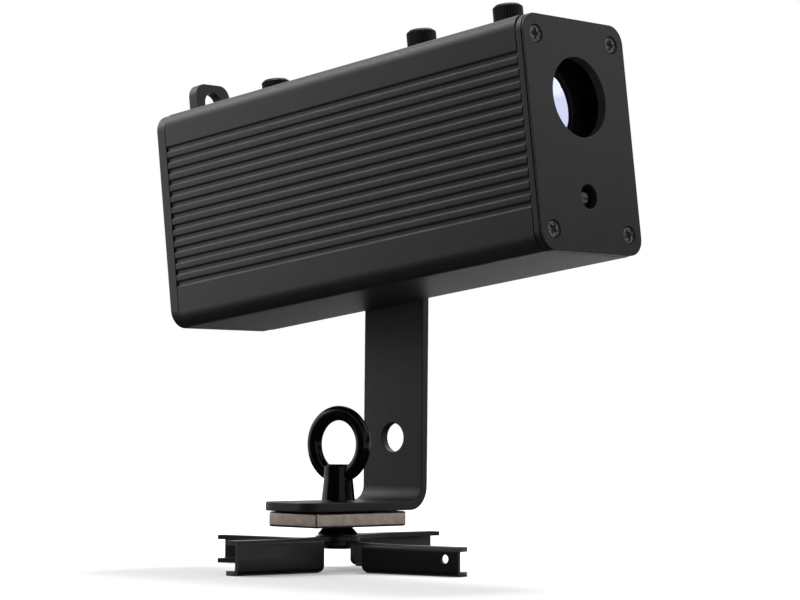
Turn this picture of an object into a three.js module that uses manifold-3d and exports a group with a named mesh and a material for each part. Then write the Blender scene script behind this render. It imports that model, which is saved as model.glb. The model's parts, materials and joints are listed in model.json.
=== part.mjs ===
// Gobo projector: a finned box head on a tilt bracket, with an eye nut, a magnet and a scissor clip.
// Millimetres, +Z up, +X from the rear of the head to its lens, +Y towards the bracket.
import * as THREE from "three";
import { mergeVertices } from "three/addons/utils/BufferGeometryUtils.js";
import Module from "manifold-3d";

const wasm = await Module();
wasm.setup();

// Driving dimensions
const seat = 0.3;
const slip = 0.2;
const overrun = 2;
const head = { length: 168.5, width: 49.5, height: 75, tiltDegrees: 7.49, axisFromRear: 62.16 };
const sleeve = { wall: 2.5, corner: 5, portReach: 3.4, railDepth: 2.6, railTop: -6.5, railThickness: 2 };
const grooves = { count: 13, pitch: 3.94, first: 24.48, mouth: 2.15, floor: 1.05, depth: 0.6 };
const plate = { thickness: 3.2, tail: 3.8, corner: 6 };
const optics = { height: 12.18, windowRadius: 12.93 };
const sensor = { height: -19.65, holeRadius: 3.94, domeRadius: 3.3, board: 3, stem: 2.2 };
const plateScrew = { y: 18.63, fromEdge: 6.58, radius: 1.5, length: 11, headRadius: 2.7, headHeight: 1.6,
  sunk: 0.4 };
const crossRecess = { length: 3.6, width: 0.8, depth: 1 };
const tab = { width: 16.2, rise: 12.4, corner: 4.5, holeRadius: 4, holeRise: 5.6 };
const knob = { radius: 4.95, height: 9.9, flutes: 36, fluteDepth: 0.35, chamfer: 0.9 };
const knobShank = { radius: 2, length: 9 };
const focusReach = { knobFromFront: 25.9, behind: 6.1, ahead: 11.9, travelBack: 12, travelAhead: 10 };
const zoomReach = { knobSpacing: 38, behind: 6, ahead: 6, travelBack: 18, travelAhead: 10 };
const lens = { radius: 13.9, edge: 4, crown: 3.2, ring: 1.4, ringGap: 0.6, lip: 0.6, throat: 12.4 };
const gobo = { knobX: 35.5, thickness: 10, width: 29, bottom: -4, aperture: 11 };
const goboPlate = { radius: 12.4, thickness: 0.6 };
const gate = { wall: 3, floor: 1.8 };
const pattern = { spokes: 8, inner: 3.4, outer: 9.2, spanShare: 0.55 };
const led = { mount: 6, boardRadius: 10, board: 1.6, dieRadius: 3.4, dome: 3.2 };
const domeShares = [[1, 0], [0.8, 0.6], [0.45, 0.9], [0, 1]];
const condenser = { barrel: 17, bore: 14.6, lensRadius: 14.3, edge: 2.4, crown: 4.5, fromGate: 8 };
const cell = { radius: 9.2, length: 65, rear: 20, spacing: 19.2, height: -18 };
const tray = { width: 29.4, top: -21, overhang: 1 };
const board = { rearGap: 5, fromFront: 8.5, thickness: 1.6, chip: 12, chipHeight: 1.5 };
const choke = { radius: 6, height: 7, fromRear: 12 };
const rocker = { y: -8, z: -21, width: 19, height: 12.6, bezel: 1.4, bezelReach: 1.2, depth: 11 };
const paddle = { back: 3.2, playY: 0.6, playZ: 0.3 };
const paddleShares = { pressed: 0.5, raised: 0.7 };
const inlet = { y: 12, z: -21, radius: 4, flange: 5.6, flangeReach: 1, depth: 11 };
const jack = { bore: 2.8, depth: 9, pin: 1 };
const bracket = { width: 27.5, thickness: 3, bend: 5, footBottom: 19.9, footNear: -25.5, footCorner: 8 };
const upright = { gap: 1.85, axisHeight: 126.84, holeRadius: 4.95, holeHeight: 44.46 };
const insert = { radius: 4.3, bore: 3, flange: 6.5, flangeThickness: 1, depth: 9 };
const washer = { radius: 11 };
const tiltKnob = { hub: 7.5, hubLength: 3, grip: 11, gripLength: 9, lobes: 8, lobeDepth: 1.1, round: 1 };
const tiltScrew = { radius: 2.7, reach: 11.75 };
const magnet = { length: 43.6, width: 22.9, thickness: 5.1, corner: 1.5, edge: 1 };
const stud = { radius: 3, top: 33, headRadius: 5, headHeight: 0.8 };
const coneNut = { topRadius: 4.85, waistRadius: 6.65, bottomRadius: 6.9, cone: 1.9 };
const eye = { collarFoot: 5.7, collarTop: 4.95, taper: 7, crown: 35.4, chamfer: 0.7, ceiling: 2 };
const eyeRing = { height: 42.1, radius: 10.6, rod: 2.5, turnDegrees: 4.7 };
const clip = { sheet: 1.5, web: 15.37, inner: 19.3, tip: 55.9, flange: 6, bend: 1.8 };
const clipArmPlan = { root: 12, hub: 7.5, webCorner: 2.5 };
const clipPose = { upperTop: 11.3, upperDegrees: -94.8, lowerDegrees: 11.4 };
const clipHole = { radius: 1.5, fromTip: 5.1, height: 5.75 };

// A carriage's place along the head, from where its thumb screw stands
const placed = (reach, knobX) =>
  ({ ...reach, knobX, rear: knobX - reach.behind, front: knobX + reach.ahead });

// Sizes that follow from the driving dimensions
const halfWidth = head.width / 2;
const halfHeight = head.height / 2;
const innerY = halfWidth - sleeve.wall;
const innerZ = halfHeight - sleeve.wall;
const screwZ = halfHeight - plateScrew.fromEdge;
const portY = plateScrew.y - sleeve.portReach;
const portZ = screwZ - sleeve.portReach;
const sleeveRear = plate.tail + seat;
const sleeveFront = head.length - plate.thickness - seat;
const deck = sleeve.railTop + seat;
const gateFront = gobo.knobX + gobo.thickness / 2 + slip;
const gateRear = gobo.knobX - gobo.thickness / 2 - slip;
const focus = placed(focusReach, head.length - focusReach.knobFromFront);
const zoom = placed(zoomReach, focus.knobX - zoomReach.knobSpacing);
const cellFront = cell.rear + cell.length;
const boardRear = cellFront + board.rearGap;
const boardFront = head.length - board.fromFront;
const boardSeat = -portZ + seat;
const uprightNear = halfWidth + upright.gap;
const footTop = bracket.footBottom + bracket.thickness;
const studHole = stud.radius + seat;
const magnetTop = bracket.footBottom - seat;
const magnetBottom = magnetTop - magnet.thickness;
const coneBottom = clipPose.upperTop + seat;
const lowerTop = clipPose.upperTop - clip.sheet - slip;

// Finishes
const finish = (color, roughness, metalness) =>
  new THREE.MeshStandardMaterial({ color, roughness, metalness });
const blackCoat = () => finish(0x2c2c2d, 0.55, 0.2);
const blackPlastic = () => finish(0x1b1b1c, 0.5, 0);
const blackScrew = () => finish(0x242425, 0.4, 0.6);
const blackAluminium = () => finish(0x202022, 0.6, 0.4);
const bareSteel = () => finish(0xb9b7b2, 0.35, 1);
const opticalGlass = () => finish(0xc9d6ee, 0.05, 0);
const blueFilm = () => finish(0x3a6ea8, 0.4, 0);

// Closed solids and the cuts and joins between them
function toSolid(geometry) {
  const bare = geometry.clone();
  bare.deleteAttribute("normal");
  bare.deleteAttribute("uv");
  const merged = mergeVertices(bare);
  const vertProperties = new Float32Array(merged.attributes.position.array);
  const triVerts = new Uint32Array(merged.index.array);
  return new wasm.Manifold(new wasm.Mesh({ numProp: 3, vertProperties, triVerts }));
}

function toGeometry(solid) {
  const mesh = solid.getMesh();
  const geometry = new THREE.BufferGeometry();
  geometry.setAttribute("position", new THREE.BufferAttribute(mesh.vertProperties, mesh.numProp));
  geometry.setIndex(new THREE.BufferAttribute(mesh.triVerts, 1));
  return geometry;
}

const combine = (verb) => (first, ...others) =>
  toGeometry(others.reduce((solid, other) => solid[verb](toSolid(other)), toSolid(first)));
const cut = combine("subtract");
const join = combine("add");
const common = combine("intersect");

// Shapes and plain bodies
const alongXBasis = new THREE.Matrix4().makeBasis(
  new THREE.Vector3(0, 1, 0), new THREE.Vector3(0, 0, 1), new THREE.Vector3(1, 0, 0));
const alongYBasis = new THREE.Matrix4().makeBasis(
  new THREE.Vector3(0, 0, 1), new THREE.Vector3(1, 0, 0), new THREE.Vector3(0, 1, 0));

const alongX = (geometry) => geometry.applyMatrix4(alongXBasis);
const alongY = (geometry) => geometry.applyMatrix4(alongYBasis);
const moved = (geometry, x, y, z) => geometry.clone().translate(x, y, z);

function extruded(shape, depth, curveSegments = 6) {
  return new THREE.ExtrudeGeometry(shape, { depth, bevelEnabled: false, curveSegments });
}

function polygon(points) {
  return new THREE.Shape(points.map(([x, y]) => new THREE.Vector2(x, y)));
}

function roundedRectangle(width, height, radius) {
  const x = width / 2;
  const y = height / 2;
  const shape = new THREE.Shape();
  shape.moveTo(radius - x, -y);
  shape.lineTo(x - radius, -y);
  shape.absarc(x - radius, radius - y, radius, -Math.PI / 2, 0);
  shape.absarc(x - radius, y - radius, radius, 0, Math.PI / 2);
  shape.absarc(radius - x, y - radius, radius, Math.PI / 2, Math.PI);
  shape.absarc(radius - x, radius - y, radius, Math.PI, 1.5 * Math.PI);
  return shape;
}

function circlePoints(radius, count) {
  const turn = (index) => (2 * Math.PI * index) / count;
  const place = (index) => [radius * Math.cos(turn(index)), radius * Math.sin(turn(index))];
  return Array.from({ length: count }, (_, index) => place(index));
}

function addHole(shape, x, y, radius, count = 20) {
  const ring = circlePoints(radius, count).map(([u, v]) => new THREE.Vector2(x + u, y + v));
  shape.holes.push(new THREE.Path(ring));
}

// A turned body about Z, from outline points given as radius and height
function turned(points, segments = 28) {
  const outline = points.map(([radius, height]) => new THREE.Vector2(radius, height));
  return new THREE.LatheGeometry(outline, segments).rotateX(Math.PI / 2);
}

const rod = (radius, bottom, top, segments) =>
  turned([[0, bottom], [radius, bottom], [radius, top], [0, top]], segments);

const tubeBetween = (inner, outer, bottom, top, segments) =>
  turned([[inner, bottom], [outer, bottom], [outer, top], [inner, top], [inner, bottom]], segments);

// A box given by its lowest and highest corner
function block([x0, y0, z0], [x1, y1, z1]) {
  const box = new THREE.BoxGeometry(x1 - x0, y1 - y0, z1 - z0);
  return box.translate((x0 + x1) / 2, (y0 + y1) / 2, (z0 + z1) / 2);
}

function piece(name, geometry, material) {
  const mesh = new THREE.Mesh(geometry, material);
  mesh.name = name;
  return mesh;
}

// Extruded housing with grooved sides, screw ports and the rails that the optics ride on
function groovedSide(side) {
  const points = [];
  for (let i = grooves.count - 1; i >= 0; i -= 1) {
    const z = grooves.first - i * grooves.pitch;
    points.push([halfWidth, z - grooves.mouth / 2]);
    points.push([halfWidth - grooves.depth, z - grooves.floor / 2]);
    points.push([halfWidth - grooves.depth, z + grooves.floor / 2]);
    points.push([halfWidth, z + grooves.mouth / 2]);
  }
  return side > 0 ? points : points.reverse().map(([y, z]) => [-y, z]);
}

function sleeveOutline() {
  const { corner } = sleeve;
  const shape = new THREE.Shape();
  shape.moveTo(corner - halfWidth, -halfHeight);
  shape.lineTo(halfWidth - corner, -halfHeight);
  shape.absarc(halfWidth - corner, corner - halfHeight, corner, -Math.PI / 2, 0);
  groovedSide(1).forEach(([y, z]) => shape.lineTo(y, z));
  shape.absarc(halfWidth - corner, halfHeight - corner, corner, 0, Math.PI / 2);
  shape.absarc(corner - halfWidth, halfHeight - corner, corner, Math.PI / 2, Math.PI);
  groovedSide(-1).forEach(([y, z]) => shape.lineTo(y, z));
  shape.absarc(corner - halfWidth, corner - halfHeight, corner, Math.PI, 1.5 * Math.PI);
  return shape;
}

function sleeveCavity() {
  const railBottom = sleeve.railTop - sleeve.railThickness;
  const right = [
    [portY, -innerZ], [portY, -portZ], [innerY, -portZ], [innerY, railBottom],
    [innerY - sleeve.railDepth, railBottom], [innerY - sleeve.railDepth, sleeve.railTop],
    [innerY, sleeve.railTop], [innerY, portZ], [portY, portZ], [portY, innerZ],
  ];
  const left = [...right].reverse().map(([y, z]) => [-y, z]);
  return new THREE.Path([...right, ...left].map(([y, z]) => new THREE.Vector2(y, z)));
}

const screwPlaces = [-1, 1].flatMap((y) => [-1, 1].map((z) => [y * plateScrew.y, z * screwZ]));

function knobSlot(carriage) {
  const radius = knobShank.radius + seat;
  const rear = carriage.knobX - carriage.travelBack - radius - seat;
  const front = carriage.knobX + carriage.travelAhead + radius + seat;
  const slot = extruded(roundedRectangle(front - rear, 2 * radius, radius), sleeve.wall + 2 * overrun);
  return slot.translate((rear + front) / 2, 0, innerZ - overrun);
}

function housingSleeve() {
  const outline = sleeveOutline();
  outline.holes.push(sleeveCavity());
  screwPlaces.forEach(([y, z]) => addHole(outline, y, z, plateScrew.radius + seat, 12));
  const tube = alongX(extruded(outline, sleeveFront - sleeveRear)).translate(sleeveRear, 0, 0);
  const halfSlot = gobo.thickness / 2 + seat;
  const goboSlot = block(
    [gobo.knobX - halfSlot, -gobo.width / 2 - seat, innerZ - overrun],
    [gobo.knobX + halfSlot, gobo.width / 2 + seat, halfHeight + overrun]);
  const insertHole = alongY(rod(insert.radius + seat, innerY - overrun, halfWidth + overrun, 20));
  const tools = [knobSlot(focus), knobSlot(zoom), goboSlot, moved(insertHole, head.axisFromRear, 0, 0)];
  return piece("housing_sleeve", cut(tube, ...tools), blackCoat());
}

// Countersunk screw with a cross recess, pointing from the plate's outer face into the sleeve
function crossScrew() {
  const { sunk, radius, length } = plateScrew;
  const turnedScrew = turned([[0, sunk], [plateScrew.headRadius, sunk],
    [radius, sunk + plateScrew.headHeight], [radius, length], [0, length]], 16);
  const wing = crossRecess.length / 2;
  const half = crossRecess.width / 2;
  const recess = [
    block([-wing, -half, -overrun], [wing, half, sunk + crossRecess.depth]),
    block([-half, -wing, -overrun], [half, wing, sunk + crossRecess.depth]),
  ];
  return cut(turnedScrew, ...recess);
}

function screwHole(thickness) {
  const wide = plateScrew.headRadius + seat;
  const narrow = plateScrew.radius + seat;
  const { sunk, headHeight } = plateScrew;
  return turned([[0, -overrun], [wide, -overrun], [wide, sunk], [narrow, sunk + headHeight],
    [narrow, thickness + overrun], [0, thickness + overrun]], 16);
}

// Places a body that points along +Z so that it points from an end face into the head
function intoHead(geometry, fromFront, y, z) {
  const turnedBody = geometry.clone().rotateY(fromFront ? -Math.PI / 2 : Math.PI / 2);
  return turnedBody.translate(fromFront ? head.length : 0, y, z);
}

function screwSet(name, fromFront) {
  return screwPlaces.map(([y, z], index) =>
    piece(`${name}_${index + 1}`, intoHead(crossScrew(), fromFront, y, z), blackScrew()));
}

function frontPlate() {
  const outline = roundedRectangle(head.width, head.height, plate.corner);
  addHole(outline, 0, optics.height, optics.windowRadius, 40);
  addHole(outline, 0, sensor.height, sensor.holeRadius);
  const rear = head.length - plate.thickness;
  const sheet = alongX(extruded(outline, plate.thickness)).translate(rear, 0, 0);
  const holes = screwPlaces.map(([y, z]) => intoHead(screwHole(plate.thickness), true, y, z));
  return piece("front_plate", cut(sheet, ...holes), blackCoat());
}

function rearPlateOutline() {
  const half = tab.width / 2;
  const top = halfHeight + tab.rise;
  const { corner } = plate;
  const shape = new THREE.Shape();
  shape.moveTo(corner - halfWidth, -halfHeight);
  shape.lineTo(halfWidth - corner, -halfHeight);
  shape.absarc(halfWidth - corner, corner - halfHeight, corner, -Math.PI / 2, 0);
  shape.absarc(halfWidth - corner, halfHeight - corner, corner, 0, Math.PI / 2);
  shape.lineTo(half, halfHeight);
  shape.absarc(half - tab.corner, top - tab.corner, tab.corner, 0, Math.PI / 2);
  shape.absarc(tab.corner - half, top - tab.corner, tab.corner, Math.PI / 2, Math.PI);
  shape.lineTo(-half, halfHeight);
  shape.absarc(corner - halfWidth, halfHeight - corner, corner, Math.PI / 2, Math.PI);
  shape.absarc(corner - halfWidth, corner - halfHeight, corner, Math.PI, 1.5 * Math.PI);
  return shape;
}

function rearPlate() {
  const outline = rearPlateOutline();
  addHole(outline, 0, halfHeight + tab.holeRise, tab.holeRadius, 24);
  addHole(outline, inlet.y, inlet.z, inlet.radius + seat);
  const holes = screwPlaces.map(([y, z]) => intoHead(screwHole(plate.tail), false, y, z));
  const half = [rocker.width / 2 + seat, rocker.height / 2 + seat];
  holes.push(block(
    [-overrun, rocker.y - half[0], rocker.z - half[1]],
    [plate.tail + overrun, rocker.y + half[0], rocker.z + half[1]]));
  return piece("rear_plate", cut(alongX(extruded(outline, plate.tail)), ...holes), blackCoat());
}

// Fluted thumb screw standing on the height given, its shank pointing down
function thumbScrew(name, x, foot) {
  const points = [];
  for (let i = 0; i < knob.flutes; i += 1) {
    const turn = (2 * Math.PI * i) / knob.flutes;
    const valley = turn + Math.PI / knob.flutes;
    const inside = knob.radius - knob.fluteDepth;
    points.push([knob.radius * Math.cos(turn), knob.radius * Math.sin(turn)]);
    points.push([inside * Math.cos(valley), inside * Math.sin(valley)]);
  }
  const fluted = extruded(polygon(points), knob.height);
  const shoulder = knob.radius - knob.chamfer;
  const envelope = turned([[0, -overrun], [knob.radius + overrun, -overrun],
    [knob.radius + overrun, knob.height - knob.chamfer - overrun],
    [shoulder, knob.height], [0, knob.height]], 36);
  const shank = rod(knobShank.radius, -knobShank.length, knob.chamfer, 16);
  const body = join(common(fluted, envelope), shank);
  return piece(name, moved(body, x, 0, foot), blackScrew());
}

// Block that slides in the sleeve and carries a lens, clear of the sleeve's screw ports
function carriageOutline() {
  const side = innerY - slip;
  const shoulder = portZ - seat;
  const neck = portY - seat;
  const top = innerZ - seat;
  return polygon([[-side, deck], [side, deck], [side, shoulder], [neck, shoulder],
    [neck, top], [-neck, top], [-neck, shoulder], [-side, shoulder]]);
}

function lensSeat(carriage) {
  return carriage.front - lens.ring - lens.ringGap - lens.edge - seat;
}

function carriageBody(name, carriage) {
  const outline = carriageOutline();
  addHole(outline, 0, optics.height, lens.throat, 28);
  const length = carriage.front - carriage.rear;
  const bodyBlock = alongX(extruded(outline, length)).translate(carriage.rear, 0, 0);
  const pocket = alongX(rod(lens.radius + seat, lensSeat(carriage), carriage.front + overrun));
  const tapped = rod(knobShank.radius + seat, innerZ - knobShank.length, innerZ + overrun, 16);
  const tools = [moved(pocket, 0, 0, optics.height), moved(tapped, carriage.knobX, 0, 0)];
  return piece(name, cut(bodyBlock, ...tools), blackAluminium());
}

// Outline points of a lens crown from its rim to the axis, swelling up or down from its foot
function crownPoints(radius, crown, foot, hand) {
  const steps = 5;
  const sphere = (radius * radius + crown * crown) / (2 * crown);
  return Array.from({ length: steps + 1 }, (_, i) => {
    const reach = radius * (1 - i / steps);
    return [reach, foot + hand * (crown - sphere + Math.sqrt(sphere * sphere - reach * reach))];
  });
}

// Lens of a carriage, flat in front, its crown standing back into the throat
function carriageLens(name, carriage) {
  const rear = lensSeat(carriage) + seat;
  const front = rear + lens.edge;
  const crown = crownPoints(lens.throat - seat, lens.crown, rear, -1).reverse();
  const points = [...crown, [lens.radius, rear], [lens.radius, front], [0, front]];
  return piece(name, moved(alongX(turned(points)), 0, 0, optics.height), opticalGlass());
}

function lensRing(name, carriage) {
  const rear = lensSeat(carriage) + seat + lens.edge + lens.ringGap;
  const ring = tubeBetween(lens.radius - lens.lip, lens.radius, rear, rear + lens.ring);
  return piece(name, moved(alongX(ring), 0, 0, optics.height), blackAluminium());
}

function lensModule(name, carriage) {
  return [
    carriageBody(`${name}_carriage`, carriage),
    carriageLens(`${name}_lens`, carriage),
    lensRing(`${name}_lens_ring`, carriage),
    thumbScrew(`${name}_thumb_screw`, carriage.knobX, halfHeight + seat),
  ];
}

// Gate fixed in the sleeve, with the lift-out holder that carries the gobo
function goboGate() {
  const side = innerY - slip;
  const top = portZ - seat;
  const outer = block([gateRear - gate.wall, -side, deck], [gateFront + gate.wall, side, top]);
  const slot = block([gateRear, -gobo.width / 2 - slip, deck + gate.floor],
    [gateFront, gobo.width / 2 + slip, top + overrun]);
  const window = rod(gobo.aperture + seat, gateRear - gate.wall - overrun, gateFront + gate.wall + overrun);
  return piece("gobo_gate", cut(outer, slot, moved(alongX(window), 0, 0, optics.height)), blackAluminium());
}

function goboHolder() {
  const rear = gobo.knobX - gobo.thickness / 2;
  const front = gobo.knobX + gobo.thickness / 2;
  const body = block([rear, -gobo.width / 2, gobo.bottom], [front, gobo.width / 2, innerZ - seat]);
  const window = rod(gobo.aperture, rear - overrun, front + overrun);
  const pocket = rod(goboPlate.radius + seat, gobo.knobX, front + overrun);
  const tapped = rod(knobShank.radius + seat, innerZ - knobShank.length - 2 * seat, innerZ + overrun, 16);
  const tools = [window, pocket].map((tool) => moved(alongX(tool), 0, 0, optics.height));
  return piece("gobo_holder", cut(body, ...tools, moved(tapped, gobo.knobX, 0, 0)), blackAluminium());
}

function goboDisc() {
  const outline = polygon(circlePoints(goboPlate.radius, 28));
  for (let i = 0; i < pattern.spokes; i += 1) {
    const half = (Math.PI / pattern.spokes) * pattern.spanShare;
    const middle = (2 * Math.PI * i) / pattern.spokes;
    const { inner, outer } = pattern;
    const corners = [[inner, -half], [outer, -half], [outer, half], [inner, half]];
    outline.holes.push(new THREE.Path(corners.map(([radius, turn]) =>
      new THREE.Vector2(radius * Math.cos(middle + turn), radius * Math.sin(middle + turn)))));
  }
  const disc = alongX(extruded(outline, goboPlate.thickness));
  return piece("gobo_disc", moved(disc, gobo.knobX + seat, 0, optics.height), bareSteel());
}

function goboRing() {
  const rear = gobo.knobX + 2 * seat + goboPlate.thickness;
  const ring = tubeBetween(gobo.aperture, goboPlate.radius, rear, rear + goboPlate.thickness);
  return piece("gobo_retaining_ring", moved(alongX(ring), 0, 0, optics.height), bareSteel());
}

// Outline points of a rounded end from a rim up to the axis
const domed = (radius, rim, height) => domeShares.map(([out, up]) => [radius * out, rim + height * up]);

// Light source at the rear: heat spreader, emitter on its board, condenser
function lightSource() {
  const mountFront = sleeveRear + led.mount;
  const side = innerY - slip;
  const spreader = block([sleeveRear, -side, deck], [mountFront, side, portZ - seat]);
  const ledRear = mountFront + seat;
  const ledFront = ledRear + led.board;
  const base = rod(led.boardRadius, ledRear, ledFront, 24);
  const emitter = turned([[0, ledFront + seat],
    ...domed(led.dieRadius, ledFront + seat, led.dome)], 16);
  const barrelFront = gateRear - gate.wall - seat;
  const seatX = barrelFront - condenser.fromGate;
  const barrel = turned([[condenser.bore, ledRear], [condenser.barrel, ledRear],
    [condenser.barrel, barrelFront], [condenser.bore, barrelFront], [condenser.bore, seatX],
    [condenser.bore - gate.floor, seatX], [condenser.bore - gate.floor, seatX - gate.floor],
    [condenser.bore, seatX - gate.floor], [condenser.bore, ledRear]]);
  const { lensRadius, edge, crown } = condenser;
  const flat = seatX + seat;
  const glass = turned([[0, flat], [lensRadius, flat], ...crownPoints(lensRadius, crown, flat + edge, 1)]);
  const onAxis = (geometry) => moved(alongX(geometry), 0, 0, optics.height);
  return [
    piece("heat_spreader", spreader, blackAluminium()),
    piece("led_board", onAxis(base), finish(0xe8e8e4, 0.5, 0)),
    piece("led_emitter", onAxis(emitter), finish(0xf0e6a0, 0.3, 0)),
    piece("condenser_barrel", onAxis(barrel), blackAluminium()),
    piece("condenser_lens", onAxis(glass), opticalGlass()),
  ];
}

// Battery and electronics under the optical deck
function powerPack() {
  const lying = (radius, rear, end, side) =>
    moved(alongX(rod(radius, rear, end, 24)), 0, (side * cell.spacing) / 2, cell.height);
  const cells = [-1, 1].map((side, index) =>
    piece(`battery_cell_${index + 1}`, lying(cell.radius, cell.rear, cellFront, side), blueFilm()));
  const saddles = [-1, 1].map((side) =>
    lying(cell.radius + seat, cell.rear - overrun, cellFront + overrun, side));
  const trayBlock = block([cell.rear + tray.overhang, -tray.width / 2, seat - innerZ],
    [cellFront - tray.overhang, tray.width / 2, tray.top]);
  return [...cells, piece("battery_tray", cut(trayBlock, ...saddles), blackPlastic())];
}

function controlBoard() {
  const side = innerY - slip;
  const top = boardSeat + board.thickness;
  const middle = (boardRear + boardFront) / 2;
  const bodies = [
    block([boardRear, -side, boardSeat], [boardFront, side, top]),
    moved(rod(choke.radius, top - slip, top + choke.height, 16), boardRear + choke.fromRear, 0, 0),
    block([middle, -board.chip / 2, top - slip],
      [middle + board.chip, board.chip / 2, top + board.chipHeight]),
  ];
  return piece("control_board", join(...bodies), finish(0x1f5a34, 0.5, 0));
}

function sensorEye() {
  const boardTop = boardSeat + board.thickness + seat;
  const rear = boardFront - sensor.board;
  const half = sensor.domeRadius;
  const stem = block([rear, -half, boardTop], [boardFront, half, sensor.height + half]);
  const tip = head.length - sensor.stem;
  const dome = turned([[0, rear], [half, rear], ...domed(half, tip - half, half)], 16);
  const body = join(stem, moved(alongX(dome), 0, 0, sensor.height));
  return piece("sensor_eye", body, finish(0x15151a, 0.2, 0));
}

// Rear controls: a rocker switch in its frame and the charging inlet
function rockerFrame() {
  const wide = rocker.width / 2;
  const high = rocker.height / 2;
  const flange = rocker.bezel;
  const body = block([-seat, -wide, -high], [rocker.depth, wide, high]);
  const rim = block([-rocker.bezelReach - seat, -wide - flange, -high - flange],
    [-seat, wide + flange, high + flange]);
  const well = block([-overrun - rocker.bezelReach, flange - wide, flange - high],
    [paddle.back + 2 * seat, wide - flange, high - flange]);
  return piece("switch_frame", moved(cut(join(body, rim), well), 0, rocker.y, rocker.z), blackPlastic());
}

// The paddle is a shallow V across the switch, pivoted at its middle, one half pressed in
function rockerPaddle() {
  const wide = rocker.width / 2 - rocker.bezel - paddle.playY;
  const high = rocker.height / 2 - rocker.bezel - paddle.playZ;
  const out = rocker.bezelReach + seat;
  const { back } = paddle;
  const shape = polygon([[-out, -wide], [-slip, wide], [back * paddleShares.pressed, wide],
    [back, 0], [back * paddleShares.raised, -wide]]);
  const body = extruded(shape, 2 * high).translate(0, 0, -high);
  return piece("switch_paddle", moved(body, 0, rocker.y, rocker.z), blackPlastic());
}

function chargeInlet() {
  const { radius, flange } = inlet;
  const { bore, pin } = jack;
  const outer = -inlet.flangeReach - seat;
  const socket = turned([[0, jack.depth], [bore, jack.depth], [bore, outer], [flange, outer],
    [flange, -seat], [radius, -seat], [radius, inlet.depth], [0, inlet.depth]], 20);
  const centrePin = rod(pin, slip, jack.depth + slip, 10);
  return piece("charge_inlet", moved(alongX(join(socket, centrePin)), 0, inlet.y, inlet.z), blackPlastic());
}

// Threaded insert in the far wall of the sleeve, which the tilt screw pulls on
function tiltInsert() {
  const outer = halfWidth - seat;
  const flangeOuter = innerY - seat;
  const points = [[insert.bore, outer], [insert.radius, outer], [insert.radius, flangeOuter],
    [insert.flange, flangeOuter], [insert.flange, flangeOuter - insert.flangeThickness],
    [insert.radius, flangeOuter - insert.flangeThickness], [insert.radius, outer - insert.depth],
    [insert.bore, outer - insert.depth], [insert.bore, outer]];
  const body = alongY(turned(points.reverse(), 20));
  return piece("tilt_insert", moved(body, head.axisFromRear, 0, 0), bareSteel());
}

function projectorHead() {
  const group = new THREE.Group();
  group.add(
    housingSleeve(), frontPlate(), rearPlate(),
    ...screwSet("front_screw", true), ...screwSet("rear_screw", false),
    ...lensModule("focus", focus), ...lensModule("zoom", zoom),
    goboGate(), goboHolder(), goboDisc(), goboRing(),
    thumbScrew("gobo_thumb_screw", gobo.knobX, innerZ + slip),
    ...lightSource(), ...powerPack(), controlBoard(), sensorEye(),
    rockerFrame(), rockerPaddle(), chargeInlet(), tiltInsert());
  group.children.forEach((mesh) => mesh.geometry.translate(-head.axisFromRear, 0, 0));
  group.position.set(0, 0, upright.axisHeight);
  group.rotation.y = -THREE.MathUtils.degToRad(head.tiltDegrees);
  return group;
}

// Tilt bracket: one bent strip, foot under the head and upright beside it
function tiltBracket() {
  const inner = bracket.bend;
  const outer = inner + bracket.thickness;
  const far = uprightNear + bracket.thickness;
  const top = upright.axisHeight + bracket.width / 2;
  const strip = new THREE.Shape();
  strip.moveTo(bracket.footNear, bracket.footBottom);
  strip.lineTo(far - outer, bracket.footBottom);
  strip.absarc(far - outer, bracket.footBottom + outer, outer, -Math.PI / 2, 0);
  strip.lineTo(far, top);
  strip.lineTo(uprightNear, top);
  strip.lineTo(uprightNear, footTop + inner);
  strip.absarc(uprightNear - inner, footTop + inner, inner, 0, -Math.PI / 2, true);
  strip.lineTo(bracket.footNear, footTop);
  const bent = alongX(extruded(strip, bracket.width, 8)).translate(-bracket.width / 2, 0, 0);

  const crown = bracket.width / 2;
  const face = new THREE.Shape();
  face.moveTo(bracket.footBottom - overrun, -crown);
  face.lineTo(upright.axisHeight, -crown);
  face.absarc(upright.axisHeight, 0, crown, -Math.PI / 2, Math.PI / 2);
  face.lineTo(bracket.footBottom - overrun, crown);
  addHole(face, upright.axisHeight, 0, tiltScrew.radius + seat);
  addHole(face, upright.holeHeight, 0, upright.holeRadius, 28);
  const depth = far - bracket.footNear + 2 * overrun;
  const elevation = alongY(extruded(face, depth, 10)).translate(0, bracket.footNear - overrun, 0);

  const plan = roundedRectangle(bracket.width, 2 * (far - bracket.footNear), bracket.footCorner);
  const footprint = extruded(plan, top + overrun, 6).translate(0, far, 0);
  const studPass = rod(studHole, bracket.footBottom - overrun, footTop + overrun, 20);
  return piece("tilt_bracket", cut(common(bent, elevation, footprint), studPass), blackCoat());
}

function frictionWasher() {
  const ring = tubeBetween(tiltScrew.radius + seat, washer.radius, halfWidth + seat, uprightNear - seat);
  return piece("friction_washer", moved(alongY(ring), 0, 0, upright.axisHeight), blackPlastic());
}

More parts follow.
